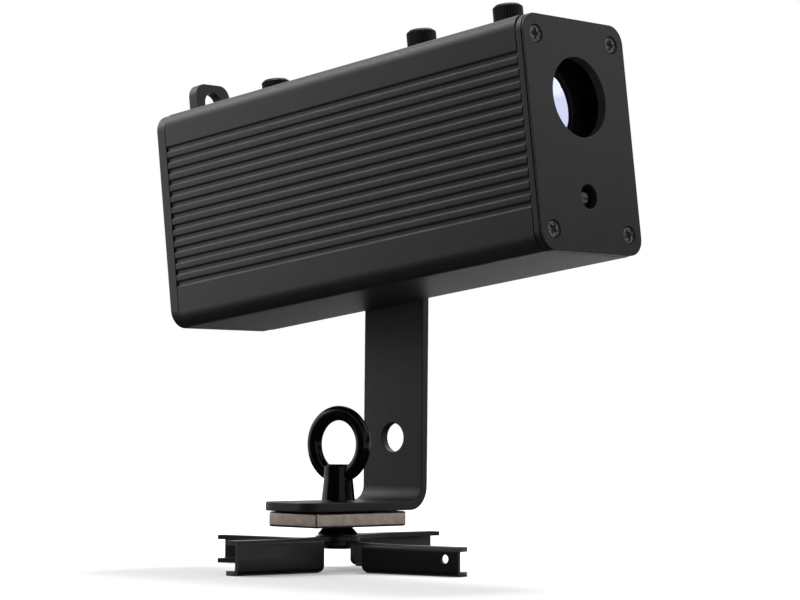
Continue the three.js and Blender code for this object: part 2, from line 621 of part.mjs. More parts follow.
// Lobed hand knob with its clamping screw
function tiltHandKnob() {
  const face = uprightNear + bracket.thickness + seat;
  const lobed = [];
  const perLobe = 4;
  for (let i = 0; i < tiltKnob.lobes * perLobe; i += 1) {
    const turn = (2 * Math.PI * i) / (tiltKnob.lobes * perLobe);
    const reach = tiltKnob.grip - (tiltKnob.lobeDepth * (1 - Math.cos(turn * tiltKnob.lobes))) / 2;
    lobed.push([reach * Math.cos(turn), reach * Math.sin(turn)]);
  }
  const gripFoot = face + tiltKnob.hubLength;
  const grip = extruded(polygon(lobed), tiltKnob.gripLength).translate(0, 0, gripFoot);
  const end = gripFoot + tiltKnob.gripLength;
  const reach = tiltKnob.grip + overrun;
  const envelope = turned([[0, gripFoot - overrun], [reach, gripFoot - overrun],
    [reach, end - tiltKnob.round - overrun], [tiltKnob.grip - tiltKnob.round, end], [0, end]], 32);
  const hub = rod(tiltKnob.hub, face, gripFoot + slip, 24);
  const screw = rod(tiltScrew.radius, halfWidth - tiltScrew.reach, face + slip, 16);
  const body = alongY(join(common(grip, envelope), hub, screw));
  return piece("tilt_knob", moved(body, 0, 0, upright.axisHeight), blackPlastic());
}

// Stack on the stud: magnet, cone nut, eye nut
function magnetBlock() {
  const inset = magnet.edge;
  const outline = roundedRectangle(magnet.width - 2 * inset, magnet.length - 2 * inset, magnet.corner);
  const bar = new THREE.ExtrudeGeometry(outline, {
    depth: magnet.thickness - 2 * inset, curveSegments: 3,
    bevelEnabled: true, bevelThickness: inset, bevelSize: inset, bevelSegments: 2,
  });
  const pass = rod(studHole, magnetBottom - overrun, magnetTop + overrun, 20);
  return piece("magnet_block", cut(moved(bar, 0, 0, magnetBottom + inset), pass), bareSteel());
}

function clipStud() {
  const shoulder = lowerTop - clip.sheet - seat;
  const points = [[0, shoulder - stud.headHeight], [stud.headRadius, shoulder - stud.headHeight],
    [stud.headRadius, shoulder], [stud.radius, shoulder], [stud.radius, stud.top], [0, stud.top]];
  return piece("clip_stud", turned(points, 20), blackScrew());
}

function coneNutBody() {
  const top = magnetBottom - seat;
  const points = [[studHole, coneBottom], [coneNut.bottomRadius, coneBottom],
    [coneNut.waistRadius, top - coneNut.cone], [coneNut.topRadius, top],
    [studHole, top], [studHole, coneBottom]];
  return piece("cone_nut", turned(points, 24), blackScrew());
}

function eyeNut() {
  const foot = footTop + seat;
  const ceiling = eye.crown - eye.ceiling;
  const collar = turned([[0, ceiling], [studHole, ceiling], [studHole, foot], [eye.collarFoot, foot],
    [eye.collarTop, foot + eye.taper], [eye.collarTop, eye.crown - eye.chamfer],
    [eye.collarTop - eye.chamfer, eye.crown], [0, eye.crown]], 20);
  const ring = new THREE.TorusGeometry(eyeRing.radius, eyeRing.rod, 10, 30).rotateX(Math.PI / 2);
  const bore = rod(studHole, foot - overrun, ceiling, 20);
  const body = cut(join(collar, moved(ring, 0, 0, eyeRing.height)), bore);
  body.rotateZ(THREE.MathUtils.degToRad(eyeRing.turnDegrees));
  return piece("eye_nut", body, finish(0x0c0c0d, 0.18, 0.3));
}

// Scissor clip: two arms that are each half-turn symmetric, with a C channel at either end
function channelProfile(top, hand) {
  const { web, flange, sheet, bend } = clip;
  const shape = new THREE.Shape();
  shape.moveTo(web - flange, 0);
  shape.lineTo(web - bend, 0);
  shape.absarc(web - bend, bend, bend, -Math.PI / 2, 0);
  shape.absarc(web - bend, top - bend, bend, 0, Math.PI / 2);
  shape.lineTo(web - flange, top);
  shape.lineTo(web - flange, top - sheet);
  shape.absarc(web - bend, top - bend, bend - sheet, Math.PI / 2, 0, true);
  shape.absarc(web - bend, bend, bend - sheet, 0, -Math.PI / 2, true);
  shape.lineTo(web - flange, sheet);
  const points = shape.getPoints(4);
  return new THREE.Shape(points.map((point) => new THREE.Vector2(hand * point.x, point.y)));
}

function armPlan(hand) {
  const { web, flange, inner, tip } = clip;
  const { root } = clipArmPlan;
  const half = [[inner, web - flange], [inner, web - clip.sheet], [tip, web - clip.sheet],
    [tip, web - flange], [inner + root, web - flange]];
  return polygon([...half, ...half.map(([s, n]) => [-s, -n])].map(([s, n]) => [s, hand * n]));
}

// Cutter that rounds the lower inner corner of a web
function webCornerCutter(hand) {
  const corner = clipArmPlan.webCorner;
  const reach = [hand * (clip.web - clip.flange / 2), hand * (clip.web + overrun)].sort((a, b) => a - b);
  const square = block([clip.inner - overrun, reach[0], -overrun], [clip.inner + corner, reach[1], corner]);
  const round = alongY(rod(corner, reach[0] - overrun, reach[1] + overrun, 24));
  return cut(square, moved(round, clip.inner + corner, 0, corner));
}

function clipArm(name, top, hand, turnDegrees) {
  const length = clip.tip - clip.inner;
  const channel = alongX(extruded(channelProfile(top, hand), length)).translate(clip.inner, 0, 0);
  const rounded = cut(channel, webCornerCutter(hand));
  const opposite = rounded.clone().rotateZ(Math.PI);
  const planBottom = top - clip.sheet;
  const strip = extruded(armPlan(hand), clip.sheet).translate(0, 0, planBottom);
  const hub = rod(clipArmPlan.hub, planBottom, top, 32);
  let body = cut(join(rounded, opposite, strip, hub), rod(studHole, -overrun, top + overrun, 20));
  if (hand < 0) {
    const hole = alongY(rod(clipHole.radius, -clip.web - overrun, clip.flange - clip.web, 16));
    body = cut(body, moved(hole, clip.tip - clipHole.fromTip, 0, clipHole.height));
  }
  body.rotateZ(THREE.MathUtils.degToRad(turnDegrees));
  return piece(name, body, blackCoat());
}

// The whole projector, set on the middle of its own footprint
const projector = new THREE.Group();
const assembly = new THREE.Group();
assembly.add(
  projectorHead(), tiltBracket(), frictionWasher(), tiltHandKnob(),
  magnetBlock(), clipStud(), coneNutBody(), eyeNut(),
  clipArm("clip_arm_upper", clipPose.upperTop, 1, clipPose.upperDegrees),
  clipArm("clip_arm_lower", lowerTop, -1, clipPose.lowerDegrees));
projector.add(assembly);
projector.updateMatrixWorld(true);
const extent = new THREE.Box3().setFromObject(projector, true);
const middle = extent.getCenter(new THREE.Vector3());
assembly.position.set(-middle.x, -middle.y, -extent.min.z);

export default projector;
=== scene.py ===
"""Gobo projector: fine shapes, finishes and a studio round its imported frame.

Sizes in the classes are millimetres. They become metres where a shape is set on the frame.
"""

import json
import logging
import math
from collections.abc import Callable, Sequence
from dataclasses import dataclass, field
from enum import Enum

import bmesh
import bpy
from mathutils import Matrix, Vector

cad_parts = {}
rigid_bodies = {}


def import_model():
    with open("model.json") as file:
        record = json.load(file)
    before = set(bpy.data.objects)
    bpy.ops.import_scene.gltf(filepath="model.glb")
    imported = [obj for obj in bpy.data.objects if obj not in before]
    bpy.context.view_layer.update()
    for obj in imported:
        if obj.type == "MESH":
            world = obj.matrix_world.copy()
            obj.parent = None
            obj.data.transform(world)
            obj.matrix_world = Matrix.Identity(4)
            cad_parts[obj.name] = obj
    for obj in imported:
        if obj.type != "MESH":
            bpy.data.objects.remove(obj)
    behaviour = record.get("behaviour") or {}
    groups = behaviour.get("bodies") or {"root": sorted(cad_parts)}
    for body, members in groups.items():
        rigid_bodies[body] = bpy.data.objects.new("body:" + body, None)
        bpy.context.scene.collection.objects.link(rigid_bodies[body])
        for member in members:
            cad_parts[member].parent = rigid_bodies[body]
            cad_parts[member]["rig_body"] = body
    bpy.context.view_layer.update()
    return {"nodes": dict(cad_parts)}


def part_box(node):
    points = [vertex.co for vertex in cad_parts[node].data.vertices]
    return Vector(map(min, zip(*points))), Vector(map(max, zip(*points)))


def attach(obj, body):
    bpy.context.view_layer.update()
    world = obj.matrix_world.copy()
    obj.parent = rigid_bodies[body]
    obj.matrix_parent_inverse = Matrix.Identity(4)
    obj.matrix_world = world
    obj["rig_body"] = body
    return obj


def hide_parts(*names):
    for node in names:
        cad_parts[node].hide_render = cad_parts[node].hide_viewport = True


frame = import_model()
log = logging.getLogger("gobo_projector")

Point = tuple[float, float]
Shape = bmesh.types.BMesh
Socket = bpy.types.NodeSocket

MILLIMETRE = 0.001
OVERRUN = 2.0
WELD = 1e-4
SHARP = math.radians(35)
QUARTER = math.pi / 2
ROW = Matrix.Scale(MILLIMETRE, 4)


class Axis(Enum):
    """The way an outline is pulled: rows say what the outline's right, up and depth become."""

    X = ((0, 0, 1), (1, 0, 0), (0, 1, 0))
    Y = ((1, 0, 0), (0, 0, 1), (0, 1, 0))
    Z = ((1, 0, 0), (0, 1, 0), (0, 0, 1))


class Join(Enum):
    """How one solid works on another."""

    CUT = "DIFFERENCE"
    ADD = "UNION"
    KEEP = "INTERSECT"


class Grain(Enum):
    """The small relief that a way of making leaves on a surface."""

    PEEL = "ShaderNodeTexNoise"
    SPARK = "ShaderNodeTexVoronoi"


def square_on(shape: Shape, axis: Axis) -> Shape:
    """Turns a shape made along +Z so that it runs along the axis, faces outwards."""
    bmesh.ops.transform(shape, matrix=Matrix(axis.value).to_4x4(), verts=shape.verts)
    bmesh.ops.recalc_face_normals(shape, faces=shape.faces)
    return shape


def moved(shape: Shape, x: float = 0.0, y: float = 0.0, z: float = 0.0) -> Shape:
    """Slides a shape."""
    bmesh.ops.translate(shape, verts=shape.verts, vec=(x, y, z))
    return shape


def swung(shape: Shape, angle: float, axis: str = "Z") -> Shape:
    """Turns a shape about an axis through the origin, by an angle in radians."""
    bmesh.ops.transform(shape, matrix=Matrix.Rotation(angle, 4, axis), verts=shape.verts)
    return shape


def arc_steps(radius: float) -> int:
    """How many flats a rounded corner gets."""
    return 2 + int(1.7 * radius)


def rectangle(width: float, height: float, x: float = 0.0, y: float = 0.0) -> list[Point]:
    """Corners of a rectangle round a middle."""
    right, up = width / 2, height / 2
    return [(x - right, y - up), (x + right, y - up), (x + right, y + up), (x - right, y + up)]


def prism(outline: Sequence[Point], depth: float, axis: Axis, radii: Sequence[float] = ()) -> Shape:
    """Pulls a closed outline into a solid.

    Args:
        outline: Corners in order, as right and up.
        depth: How far the outline is pulled.
        axis: The way it is pulled.
        radii: One corner radius for each corner, or a single one for all, or none.

    Returns:
        The solid, starting at depth 0.
    """
    shape = bmesh.new()
    corners = [shape.verts.new((x, y, 0.0)) for x, y in outline]
    shape.faces.new(corners)
    each = list(radii) * (len(corners) if len(radii) == 1 else 1)
    for radius in sorted(set(each) - {0.0}):
        chosen = [corner for corner, own in zip(corners, each) if own == radius]
        bmesh.ops.bevel(shape, geom=chosen, offset=radius, offset_type="OFFSET", profile=0.5,
                        segments=arc_steps(radius), affect="VERTICES", material=-1)
    pulled = bmesh.ops.extrude_face_region(shape, geom=shape.faces[:])
    far = [item for item in pulled["geom"] if isinstance(item, bmesh.types.BMVert)]
    bmesh.ops.translate(shape, verts=far, vec=(0.0, 0.0, depth))
    return square_on(shape, axis)


def box(low: Sequence[float], high: Sequence[float]) -> Shape:
    """A block between two corners."""
    middle = [(a + b) / 2 for a, b in zip(low, high)]
    size = [b - a for a, b in zip(low, high)]
    shape = bmesh.new()
    bmesh.ops.create_cube(shape, size=1.0, matrix=Matrix.Translation(middle) @ Matrix.Diagonal((*size, 1.0)))
    return shape


def turned(profile: Sequence[Point], steps: int = 64, axis: Axis = Axis.Z) -> Shape:
    """Spins an outline into a turned body.

    Args:
        profile: Points as radius and height. A first point equal to the last makes a ring.
        steps: Flats round the body.
        axis: The axis that it is turned about.

    Returns:
        The closed body.
    """
    shape = bmesh.new()
    ring = profile[0] == profile[-1]
    places = profile[:-1] if ring else profile
    points = [shape.verts.new((radius, 0.0, height)) for radius, height in places]
    links = list(zip(points, points[1:] + points[:1] if ring else points[1:]))
    lines = [shape.edges.new(pair) for pair in links]
    bmesh.ops.spin(shape, geom=points + lines, cent=(0, 0, 0), axis=(0, 0, 1), angle=math.tau,
                   steps=steps, use_merge=True)
    bmesh.ops.remove_doubles(shape, verts=shape.verts, dist=WELD)
    return square_on(shape, axis)


def rod(radius: float, low: float, high: float, steps: int = 48, axis: Axis = Axis.Z) -> Shape:
    """A plain round bar between two heights."""
    return turned([(0.0, low), (radius, low), (radius, high), (0.0, high)], steps, axis)


def scratch_object(shape: Shape) -> bpy.types.Object:
    """Lends a shape to an object for one step of joining, and frees it."""
    mesh = bpy.data.meshes.new("step")
    shape.to_mesh(mesh)
    shape.free()
    step = bpy.data.objects.new("step", mesh)
    bpy.context.scene.collection.objects.link(step)
    return step


def combined(how: Join, body: Shape, *tools: Shape) -> Shape:
    """Cuts, adds or keeps the overlap of solids, one after another.

    Args:
        how: What each tool does to the body.
        body: The solid that is worked on.
        tools: The solids that work on it.

    Returns:
        The result, as a new shape.
    """
    for tool in tools:
        target, cutter = scratch_object(body), scratch_object(tool)
        step = target.modifiers.new("step", "BOOLEAN")
        step.operation, step.solver, step.object = how.value, "EXACT", cutter
        graph = bpy.context.evaluated_depsgraph_get()
        result = bpy.data.meshes.new_from_object(target.evaluated_get(graph))
        body = bmesh.new()
        body.from_mesh(result)
        for used in (target, cutter):
            bpy.data.meshes.remove(used.data)
        bpy.data.meshes.remove(result)
    bmesh.ops.remove_doubles(body, verts=body.verts, dist=WELD)
    bmesh.ops.dissolve_degenerate(body, edges=body.edges, dist=WELD)
    return body


def softened(shape: Shape, width: float, segments: int = 2, sharp: float = SHARP) -> Shape:
    """Rounds every sharp edge, as a coat or a file leaves it.

    Args:
        shape: The solid, changed in place.
        width: Setback of the rounding from the edge.
        segments: Flats across it.
        sharp: Edges that turn by more than this angle are rounded.

    Returns:
        The same shape.
    """
    edges = [edge for edge in shape.edges if edge.is_manifold and edge.calc_face_angle() > sharp]
    bmesh.ops.bevel(shape, geom=edges, offset=width, offset_type="OFFSET", segments=segments,
                    profile=0.5, affect="EDGES", clamp_overlap=True, material=-1)
    return shape


def marked(shape: Shape, inside: Callable[[Vector], bool]) -> Shape:
    """Gives a shape's second finish to the faces whose middles pass a test."""
    for face in shape.faces:
        if inside(face.calc_center_median()):
            face.material_index = 1
    return shape


def copied(node: str) -> Shape:
    """A CAD node's mesh in millimetres, its doubles merged and its flats made whole."""
    shape = bmesh.new()
    shape.from_mesh(frame["nodes"][node].data)
    bmesh.ops.scale(shape, verts=shape.verts, vec=(1 / MILLIMETRE,) * 3)
    bmesh.ops.remove_doubles(shape, verts=shape.verts, dist=WELD)
    bmesh.ops.dissolve_limit(shape, verts=shape.verts, edges=shape.edges, angle_limit=math.radians(1))
    return shape


def linear(colour: str) -> tuple[float, float, float, float]:
    """An sRGB hex colour as the linear values that shaders take."""
    shares = [int(colour[i:i + 2], 16) / 255 for i in (1, 3, 5)]
    red, green, blue = (s / 12.92 if s <= 0.04045 else ((s + 0.055) / 1.055) ** 2.4 for s in shares)
    return red, green, blue, 1.0


def add_node(tree: bpy.types.NodeTree, kind: str, settings: dict | None = None,
             links: dict | None = None) -> bpy.types.Node:
    """Adds a shader node.

    Args:
        tree: The material's nodes.
        kind: Blender's name for the node.
        settings: Socket values by socket name or number, or else properties of the node.
        links: Output sockets that feed its inputs, by socket name or number.

    Returns:
        The new node.
    """
    node = tree.nodes.new(kind)
    for key, value in (settings or {}).items():
        if isinstance(key, int) or key in node.inputs:
            node.inputs[key].default_value = value
        else:
            setattr(node, key, value)
    for key, source in (links or {}).items():
        tree.links.new(source, node.inputs[key])
    return node


def per_size(millimetres: float) -> float:
    """The scale at which a texture's features are this many millimetres across."""
    return 1 / (millimetres * MILLIMETRE)


def blend_colours(tree: bpy.types.NodeTree, share: Socket, stops: Sequence[tuple[float, str]]) -> Socket:
    """Runs a value between 0 and 1 through colours at the given places."""
    ramp = add_node(tree, "ShaderNodeValToRGB", links={"Fac": share})
    elements = ramp.color_ramp.elements
    while len(elements) < len(stops):
        elements.new(1.0)
    for element, (place, colour) in zip(elements, stops):
        element.position, element.color = place, linear(colour)
    return ramp.outputs["Color"]


@dataclass(frozen=True)
class Finish:
    """A real finish: its colours, its gloss, and the relief that shows on it."""

    name: str
    slot: str
    colour: str
    shade: str
    roughness: tuple[float, float]
    metallic: float = 0.0
    ior: float = 1.5
    specular: float = 0.5
    coat: float = 0.0
    coat_roughness: float = 0.05
    mottle: float = 14.0
    grain: Grain = Grain.PEEL
    grain_size: float = 0.5
    relief: float = 0.01
    stretch: tuple[float, float, float] = (1.0, 1.0, 1.0)

    def material(self) -> bpy.types.Material:
        """The finish as a material, made once."""
        known = bpy.data.materials.get(self.name)
        if known:
            return known
        made = bpy.data.materials.new(self.name)
        made.use_nodes = True
        tree = made.node_tree
        tree.nodes.clear()
        place = add_node(tree, "ShaderNodeTexCoord").outputs["Object"]
        surface = self.surface(tree, place)
        add_node(tree, "ShaderNodeOutputMaterial", links={"Surface": surface})
        made.diffuse_color = linear(self.colour)
        return made

    def surface(self, tree: bpy.types.NodeTree, place: Socket) -> Socket:
        """Builds the shader from where a point lies on the piece, and returns its output."""
        run = add_node(tree, "ShaderNodeMapping", {"Scale": self.stretch}, {"Vector": place})
        texture = add_node(tree, self.grain.value, {"Scale": per_size(self.grain_size)},
                           {"Vector": run.outputs["Vector"]})
        height = texture.outputs[0]
        low, high = self.roughness
        rough = add_node(tree, "ShaderNodeMapRange", {"From Min": 0.3, "From Max": 0.7,
                         "To Min": low, "To Max": high}, {"Value": height})
        bump = add_node(tree, "ShaderNodeBump", {"Strength": 1.0, "Distance": self.relief * MILLIMETRE},
                        {"Height": height})
        return add_node(tree, "ShaderNodeBsdfPrincipled", {
            "Metallic": self.metallic, "IOR": self.ior, "Specular IOR Level": self.specular,
            "Coat Weight": self.coat, "Coat Roughness": self.coat_roughness,
        }, {
            "Base Color": self.colour_at(tree, place), "Roughness": rough.outputs["Result"],
            "Normal": bump.outputs["Normal"],
        }).outputs["BSDF"]

    def colour_at(self, tree: bpy.types.NodeTree, place: Socket) -> Socket:
        """The colour over the piece: slow cloudy patches between its two colours."""
        cloud = add_node(tree, "ShaderNodeTexNoise", {"Scale": per_size(self.mottle), "Detail": 4.0},
                         {"Vector": place})
        return blend_colours(tree, cloud.outputs[0], [(0.35, self.shade), (0.65, self.colour)])


@dataclass(frozen=True)
class CoatedGlass(Finish):
    """Optical glass, whose coating throws back a share of the light in its own tint."""

    tint: str = "#d8defd"
    mirror_share: float = 0.0

    def surface(self, tree: bpy.types.NodeTree, place: Socket) -> Socket:
        """Clear glass, partly a tinted mirror, with the coating's slow drift in colour."""
        drift = add_node(tree, "ShaderNodeTexNoise", {"Scale": per_size(self.mottle)}, {"Vector": place})
        tone = blend_colours(tree, drift.outputs[0], [(0.3, self.colour), (0.7, self.shade)])
        glass = add_node(tree, "ShaderNodeBsdfPrincipled", {
            "Roughness": self.roughness[0], "IOR": self.ior, "Transmission Weight": 1.0,
        }, {"Base Color": tone})
        coating = add_node(tree, "ShaderNodeBsdfPrincipled", {
            "Base Color": linear(self.tint), "Metallic": 1.0, "Roughness": self.roughness[1],
        })
        both = add_node(tree, "ShaderNodeMixShader", {0: self.mirror_share}, {
            1: glass.outputs["BSDF"], 2: coating.outputs["BSDF"]})
        return both.outputs["Shader"]


@dataclass(frozen=True)
class CircuitBoard(Finish):
    """Solder mask over copper tracks."""

    track: float = 2.4

    def colour_at(self, tree: bpy.types.NodeTree, place: Socket) -> Socket:
        """Tracks show as a paler tone under the mask, along the edges of square cells."""
        cells = add_node(tree, "ShaderNodeTexVoronoi", {
            "feature": "DISTANCE_TO_EDGE", "distance": "EUCLIDEAN", "Scale": per_size(self.track),
            "Randomness": 0.35}, {"Vector": place})
        edge = add_node(tree, "ShaderNodeMapRange", {"From Min": 0.04, "From Max": 0.07},
                        {"Value": cells.outputs["Distance"]})
        return blend_colours(tree, edge.outputs["Result"], [(0.0, self.shade), (1.0, self.colour)])


# Polyester powder coat on extruded aluminium: satin black with a fine orange peel. The peel is drawn
# at half a millimetre, coarser than the real one, so that it shows in the picture.
POWDER_COAT = Finish("powder_coat_black", "black_coat", "#151516", "#121213", (0.42, 0.54), specular=0.34,
                     grain_size=0.55, relief=0.02)
# The same coat on folded steel strip, a little thinner and smoother.
COATED_STEEL = Finish("powder_coat_on_steel", "black_steel", "#0f0f10", "#0d0d0e", (0.36, 0.48),
                      specular=0.36, grain_size=0.5, relief=0.014)
# Black oxide on turned steel: dark, half metallic, with fine machining scatter.
BLACK_OXIDE = Finish("black_oxide_steel", "black_screw", "#0c0c0d", "#0a0a0b", (0.26, 0.36), metallic=0.2,
                     specular=0.2, mottle=3.0, grain_size=0.35, relief=0.006)
# Black zinc on small steel screws: a dark grey metal with a satin face.
BLACK_ZINC = Finish("black_zinc_steel", "black_screw", "#626263", "#545455", (0.3, 0.42), metallic=1.0,
                    mottle=1.5, grain_size=0.3, relief=0.008)
# Gloss enamel over a forging: wet-looking, with the slow waves of the hammered form under it.
GLOSS_ENAMEL = Finish("gloss_enamel_black", "gloss_black", "#070708", "#050506", (0.14, 0.22), specular=0.12,
                      coat=0.04, mottle=5.0, grain_size=2.2, relief=0.05)
# Nickel plate on a sintered magnet: warm grey metal, tumbled to a satin.
NICKEL_PLATE = Finish("nickel_plate_satin", "nickel", "#b5aa9e", "#a3988c", (0.3, 0.42), metallic=1.0,
                      mottle=3.0, grain_size=0.45, relief=0.008)
# Spring steel sheet as rolled: grey, with fine lines one way.
BARE_STEEL = Finish("bare_steel_rolled", "bare_steel", "#b9b6b0", "#a8a49e", (0.25, 0.38), metallic=1.0,
                    grain_size=0.3, relief=0.005, stretch=(1.0, 1.0, 0.1))
# Black anodised aluminium, milled: matt, with tool marks across. As painted shade, it also darkens the
# walls of the front plate's holes and of the screws' cross recesses.
ANODISED_AND_RECESS_SHADE = Finish("anodised_black_and_recess_shade", "black_anodised", "#0e0e0f", "#0b0b0c", (0.45, 0.6), metallic=0.1,
                  grain_size=0.4, relief=0.01, stretch=(0.15, 1.0, 1.0))
# Aluminium plate as milled: bright grey with long tool marks.
MILLED_ALUMINIUM = Finish("milled_aluminium", "bare_aluminium", "#c6c6c8", "#b4b4b7", (0.28, 0.42),
                          metallic=1.0, grain_size=0.4, relief=0.006, stretch=(1.0, 0.12, 1.0))
# ABS moulded in a spark-eroded tool: deep black with an even, dull pebble.
MOULDED_ABS = Finish("moulded_abs_black", "black_plastic", "#121213", "#0f0f10", (0.42, 0.55), ior=1.54,
                     grain=Grain.SPARK, grain_size=0.45, relief=0.02)
# Crown glass, ground and polished: water clear.
OPTICAL_GLASS = CoatedGlass("polished_optical_glass", "optical_glass", "#fdfdff", "#f8f9ff", (0.0, 0.04),
                            ior=1.52)
# The front lens's hollow face under its blue-violet coat, which throws back the light of the room as a
# pale violet crescent.
FRONT_COAT = CoatedGlass("coated_front_glass", "optical_glass", "#f4f6ff", "#e9edff", (0.0, 0.04),
                         ior=1.52, mirror_share=0.95)
# Glass fibre board under white solder mask: chalky, tracks barely raised.
WHITE_BOARD = CircuitBoard("solder_mask_white", "white_board", "#e6e6e2", "#d5d2c6", (0.35, 0.45),
                           grain_size=0.4, relief=0.01)
# Silicone dome over phosphor: saturated yellow, wet gloss.
EMITTER_GEL = Finish("phosphor_gel", "emitter_gel", "#e9c53d", "#d9ae2a", (0.1, 0.18), ior=1.41, coat=0.5,
                     mottle=1.0, grain_size=0.6, relief=0.01)
# PVC shrink film on a cell: glossy blue that creases a little along its length.
SHRINK_FILM = Finish("shrink_film_blue", "cell_sleeve", "#2c6db4", "#245c9c", (0.22, 0.34), mottle=9.0,
                     grain_size=1.6, relief=0.03, stretch=(0.2, 1.0, 1.0))
# Glass fibre board under green solder mask.
GREEN_BOARD = CircuitBoard("solder_mask_green", "green_board", "#1d5a33", "#2c7a48", (0.3, 0.42),
                           grain_size=0.4, relief=0.012)
# Polycarbonate that passes infra-red: nearly black, purple against the light, polished by its mould.
SENSOR_LENS = Finish("infrared_polycarbonate", "sensor_lens", "#0d0b10", "#0a090d", (0.24, 0.32), ior=1.58,
                     mottle=2.0, grain_size=1.2, relief=0.004)
FINISHES = {finish.slot: finish for finish in (
    POWDER_COAT, COATED_STEEL, BLACK_OXIDE, GLOSS_ENAMEL, NICKEL_PLATE, BARE_STEEL, ANODISED_AND_RECESS_SHADE,
    MILLED_ALUMINIUM, MOULDED_ABS, OPTICAL_GLASS, WHITE_BOARD, EMITTER_GEL, SHRINK_FILM, GREEN_BOARD,
    SENSOR_LENS)}


def fitted(shape: Shape, name: str, place: Matrix, finish: Finish, *nodes: str,
           marks: Finish | None = None) -> bpy.types.Object:
    """Sets a finished shape on its body, in place of the CAD nodes that it stands for.

    Args:
        shape: The shape in millimetres, in its own frame. It is freed.
        name: The piece's name.
        place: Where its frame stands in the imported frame.
        finish: What it is covered with.
        nodes: The CAD nodes that it stands for. It rides on the first one's body.
        marks: What its marked faces are covered with.

    Returns:
        The piece.
    """
    bmesh.ops.transform(shape, matrix=place, verts=shape.verts)
    for face in shape.faces:
        face.smooth = True
    mesh = bpy.data.meshes.new(name)
    shape.to_mesh(mesh)
    shape.free()
    for cover in (finish, marks):
        if cover:
            mesh.materials.append(cover.material())
    piece = bpy.data.objects.new(name, mesh)
    bpy.context.scene.collection.objects.link(piece)
    piece.modifiers.new("flats_stay_flat", "WEIGHTED_NORMAL").keep_sharp = True
    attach(piece, frame["nodes"][nodes[0]]["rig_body"])
    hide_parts(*nodes)
    log.info("%s: %d faces, in place of %s", name, len(mesh.polygons), ", ".join(nodes))
    return piece


def stud_frame() -> Matrix:
    """The frame of the stud's axis, which the bracket, the clip and the eye nut share."""
    low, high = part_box("cone_nut")
    return Matrix.Translation(((low.x + high.x) / 2, (low.y + high.y) / 2, 0.0)) @ ROW


@dataclass(frozen=True)
class Head:
    """The projector head's outer sizes and where it is held, as in the frame."""

    length: float = 168.5
    width: float = 49.5
    height: float = 75.0
    tilt_degrees: float = 7.49
    axis_from_rear: float = 62.16
    axis_height: float = 126.84
    plate: float = 3.2
    tail: float = 3.8
    optics_height: float = 12.18
    screw_y: float = 18.63
    screw_z: float = 30.92

    def frame(self) -> Matrix:
        """The head's own frame: +X along it from its rear face, its middle at height 0."""
        hung = Matrix.Rotation(-math.radians(self.tilt_degrees), 4, "Y")
        return (stud_frame() @ Matrix.Translation((0.0, 0.0, self.axis_height)) @ hung
                @ Matrix.Translation((-self.axis_from_rear, 0.0, 0.0)))

    def screw_places(self) -> list[Point]:
        """Sideways place and height of the four screws of an end plate."""
        return [(y * self.screw_y, z * self.screw_z) for y in (-1, 1) for z in (-1, 1)]

    def facing_in(self, shape: Shape, from_front: bool, y: float, z: float) -> Shape:
        """Stands a body that points along +Z on an end face, pointing into the head."""
        swung(shape, -QUARTER if from_front else QUARTER, "Y")
        return moved(shape, self.length if from_front else 0.0, y, z)


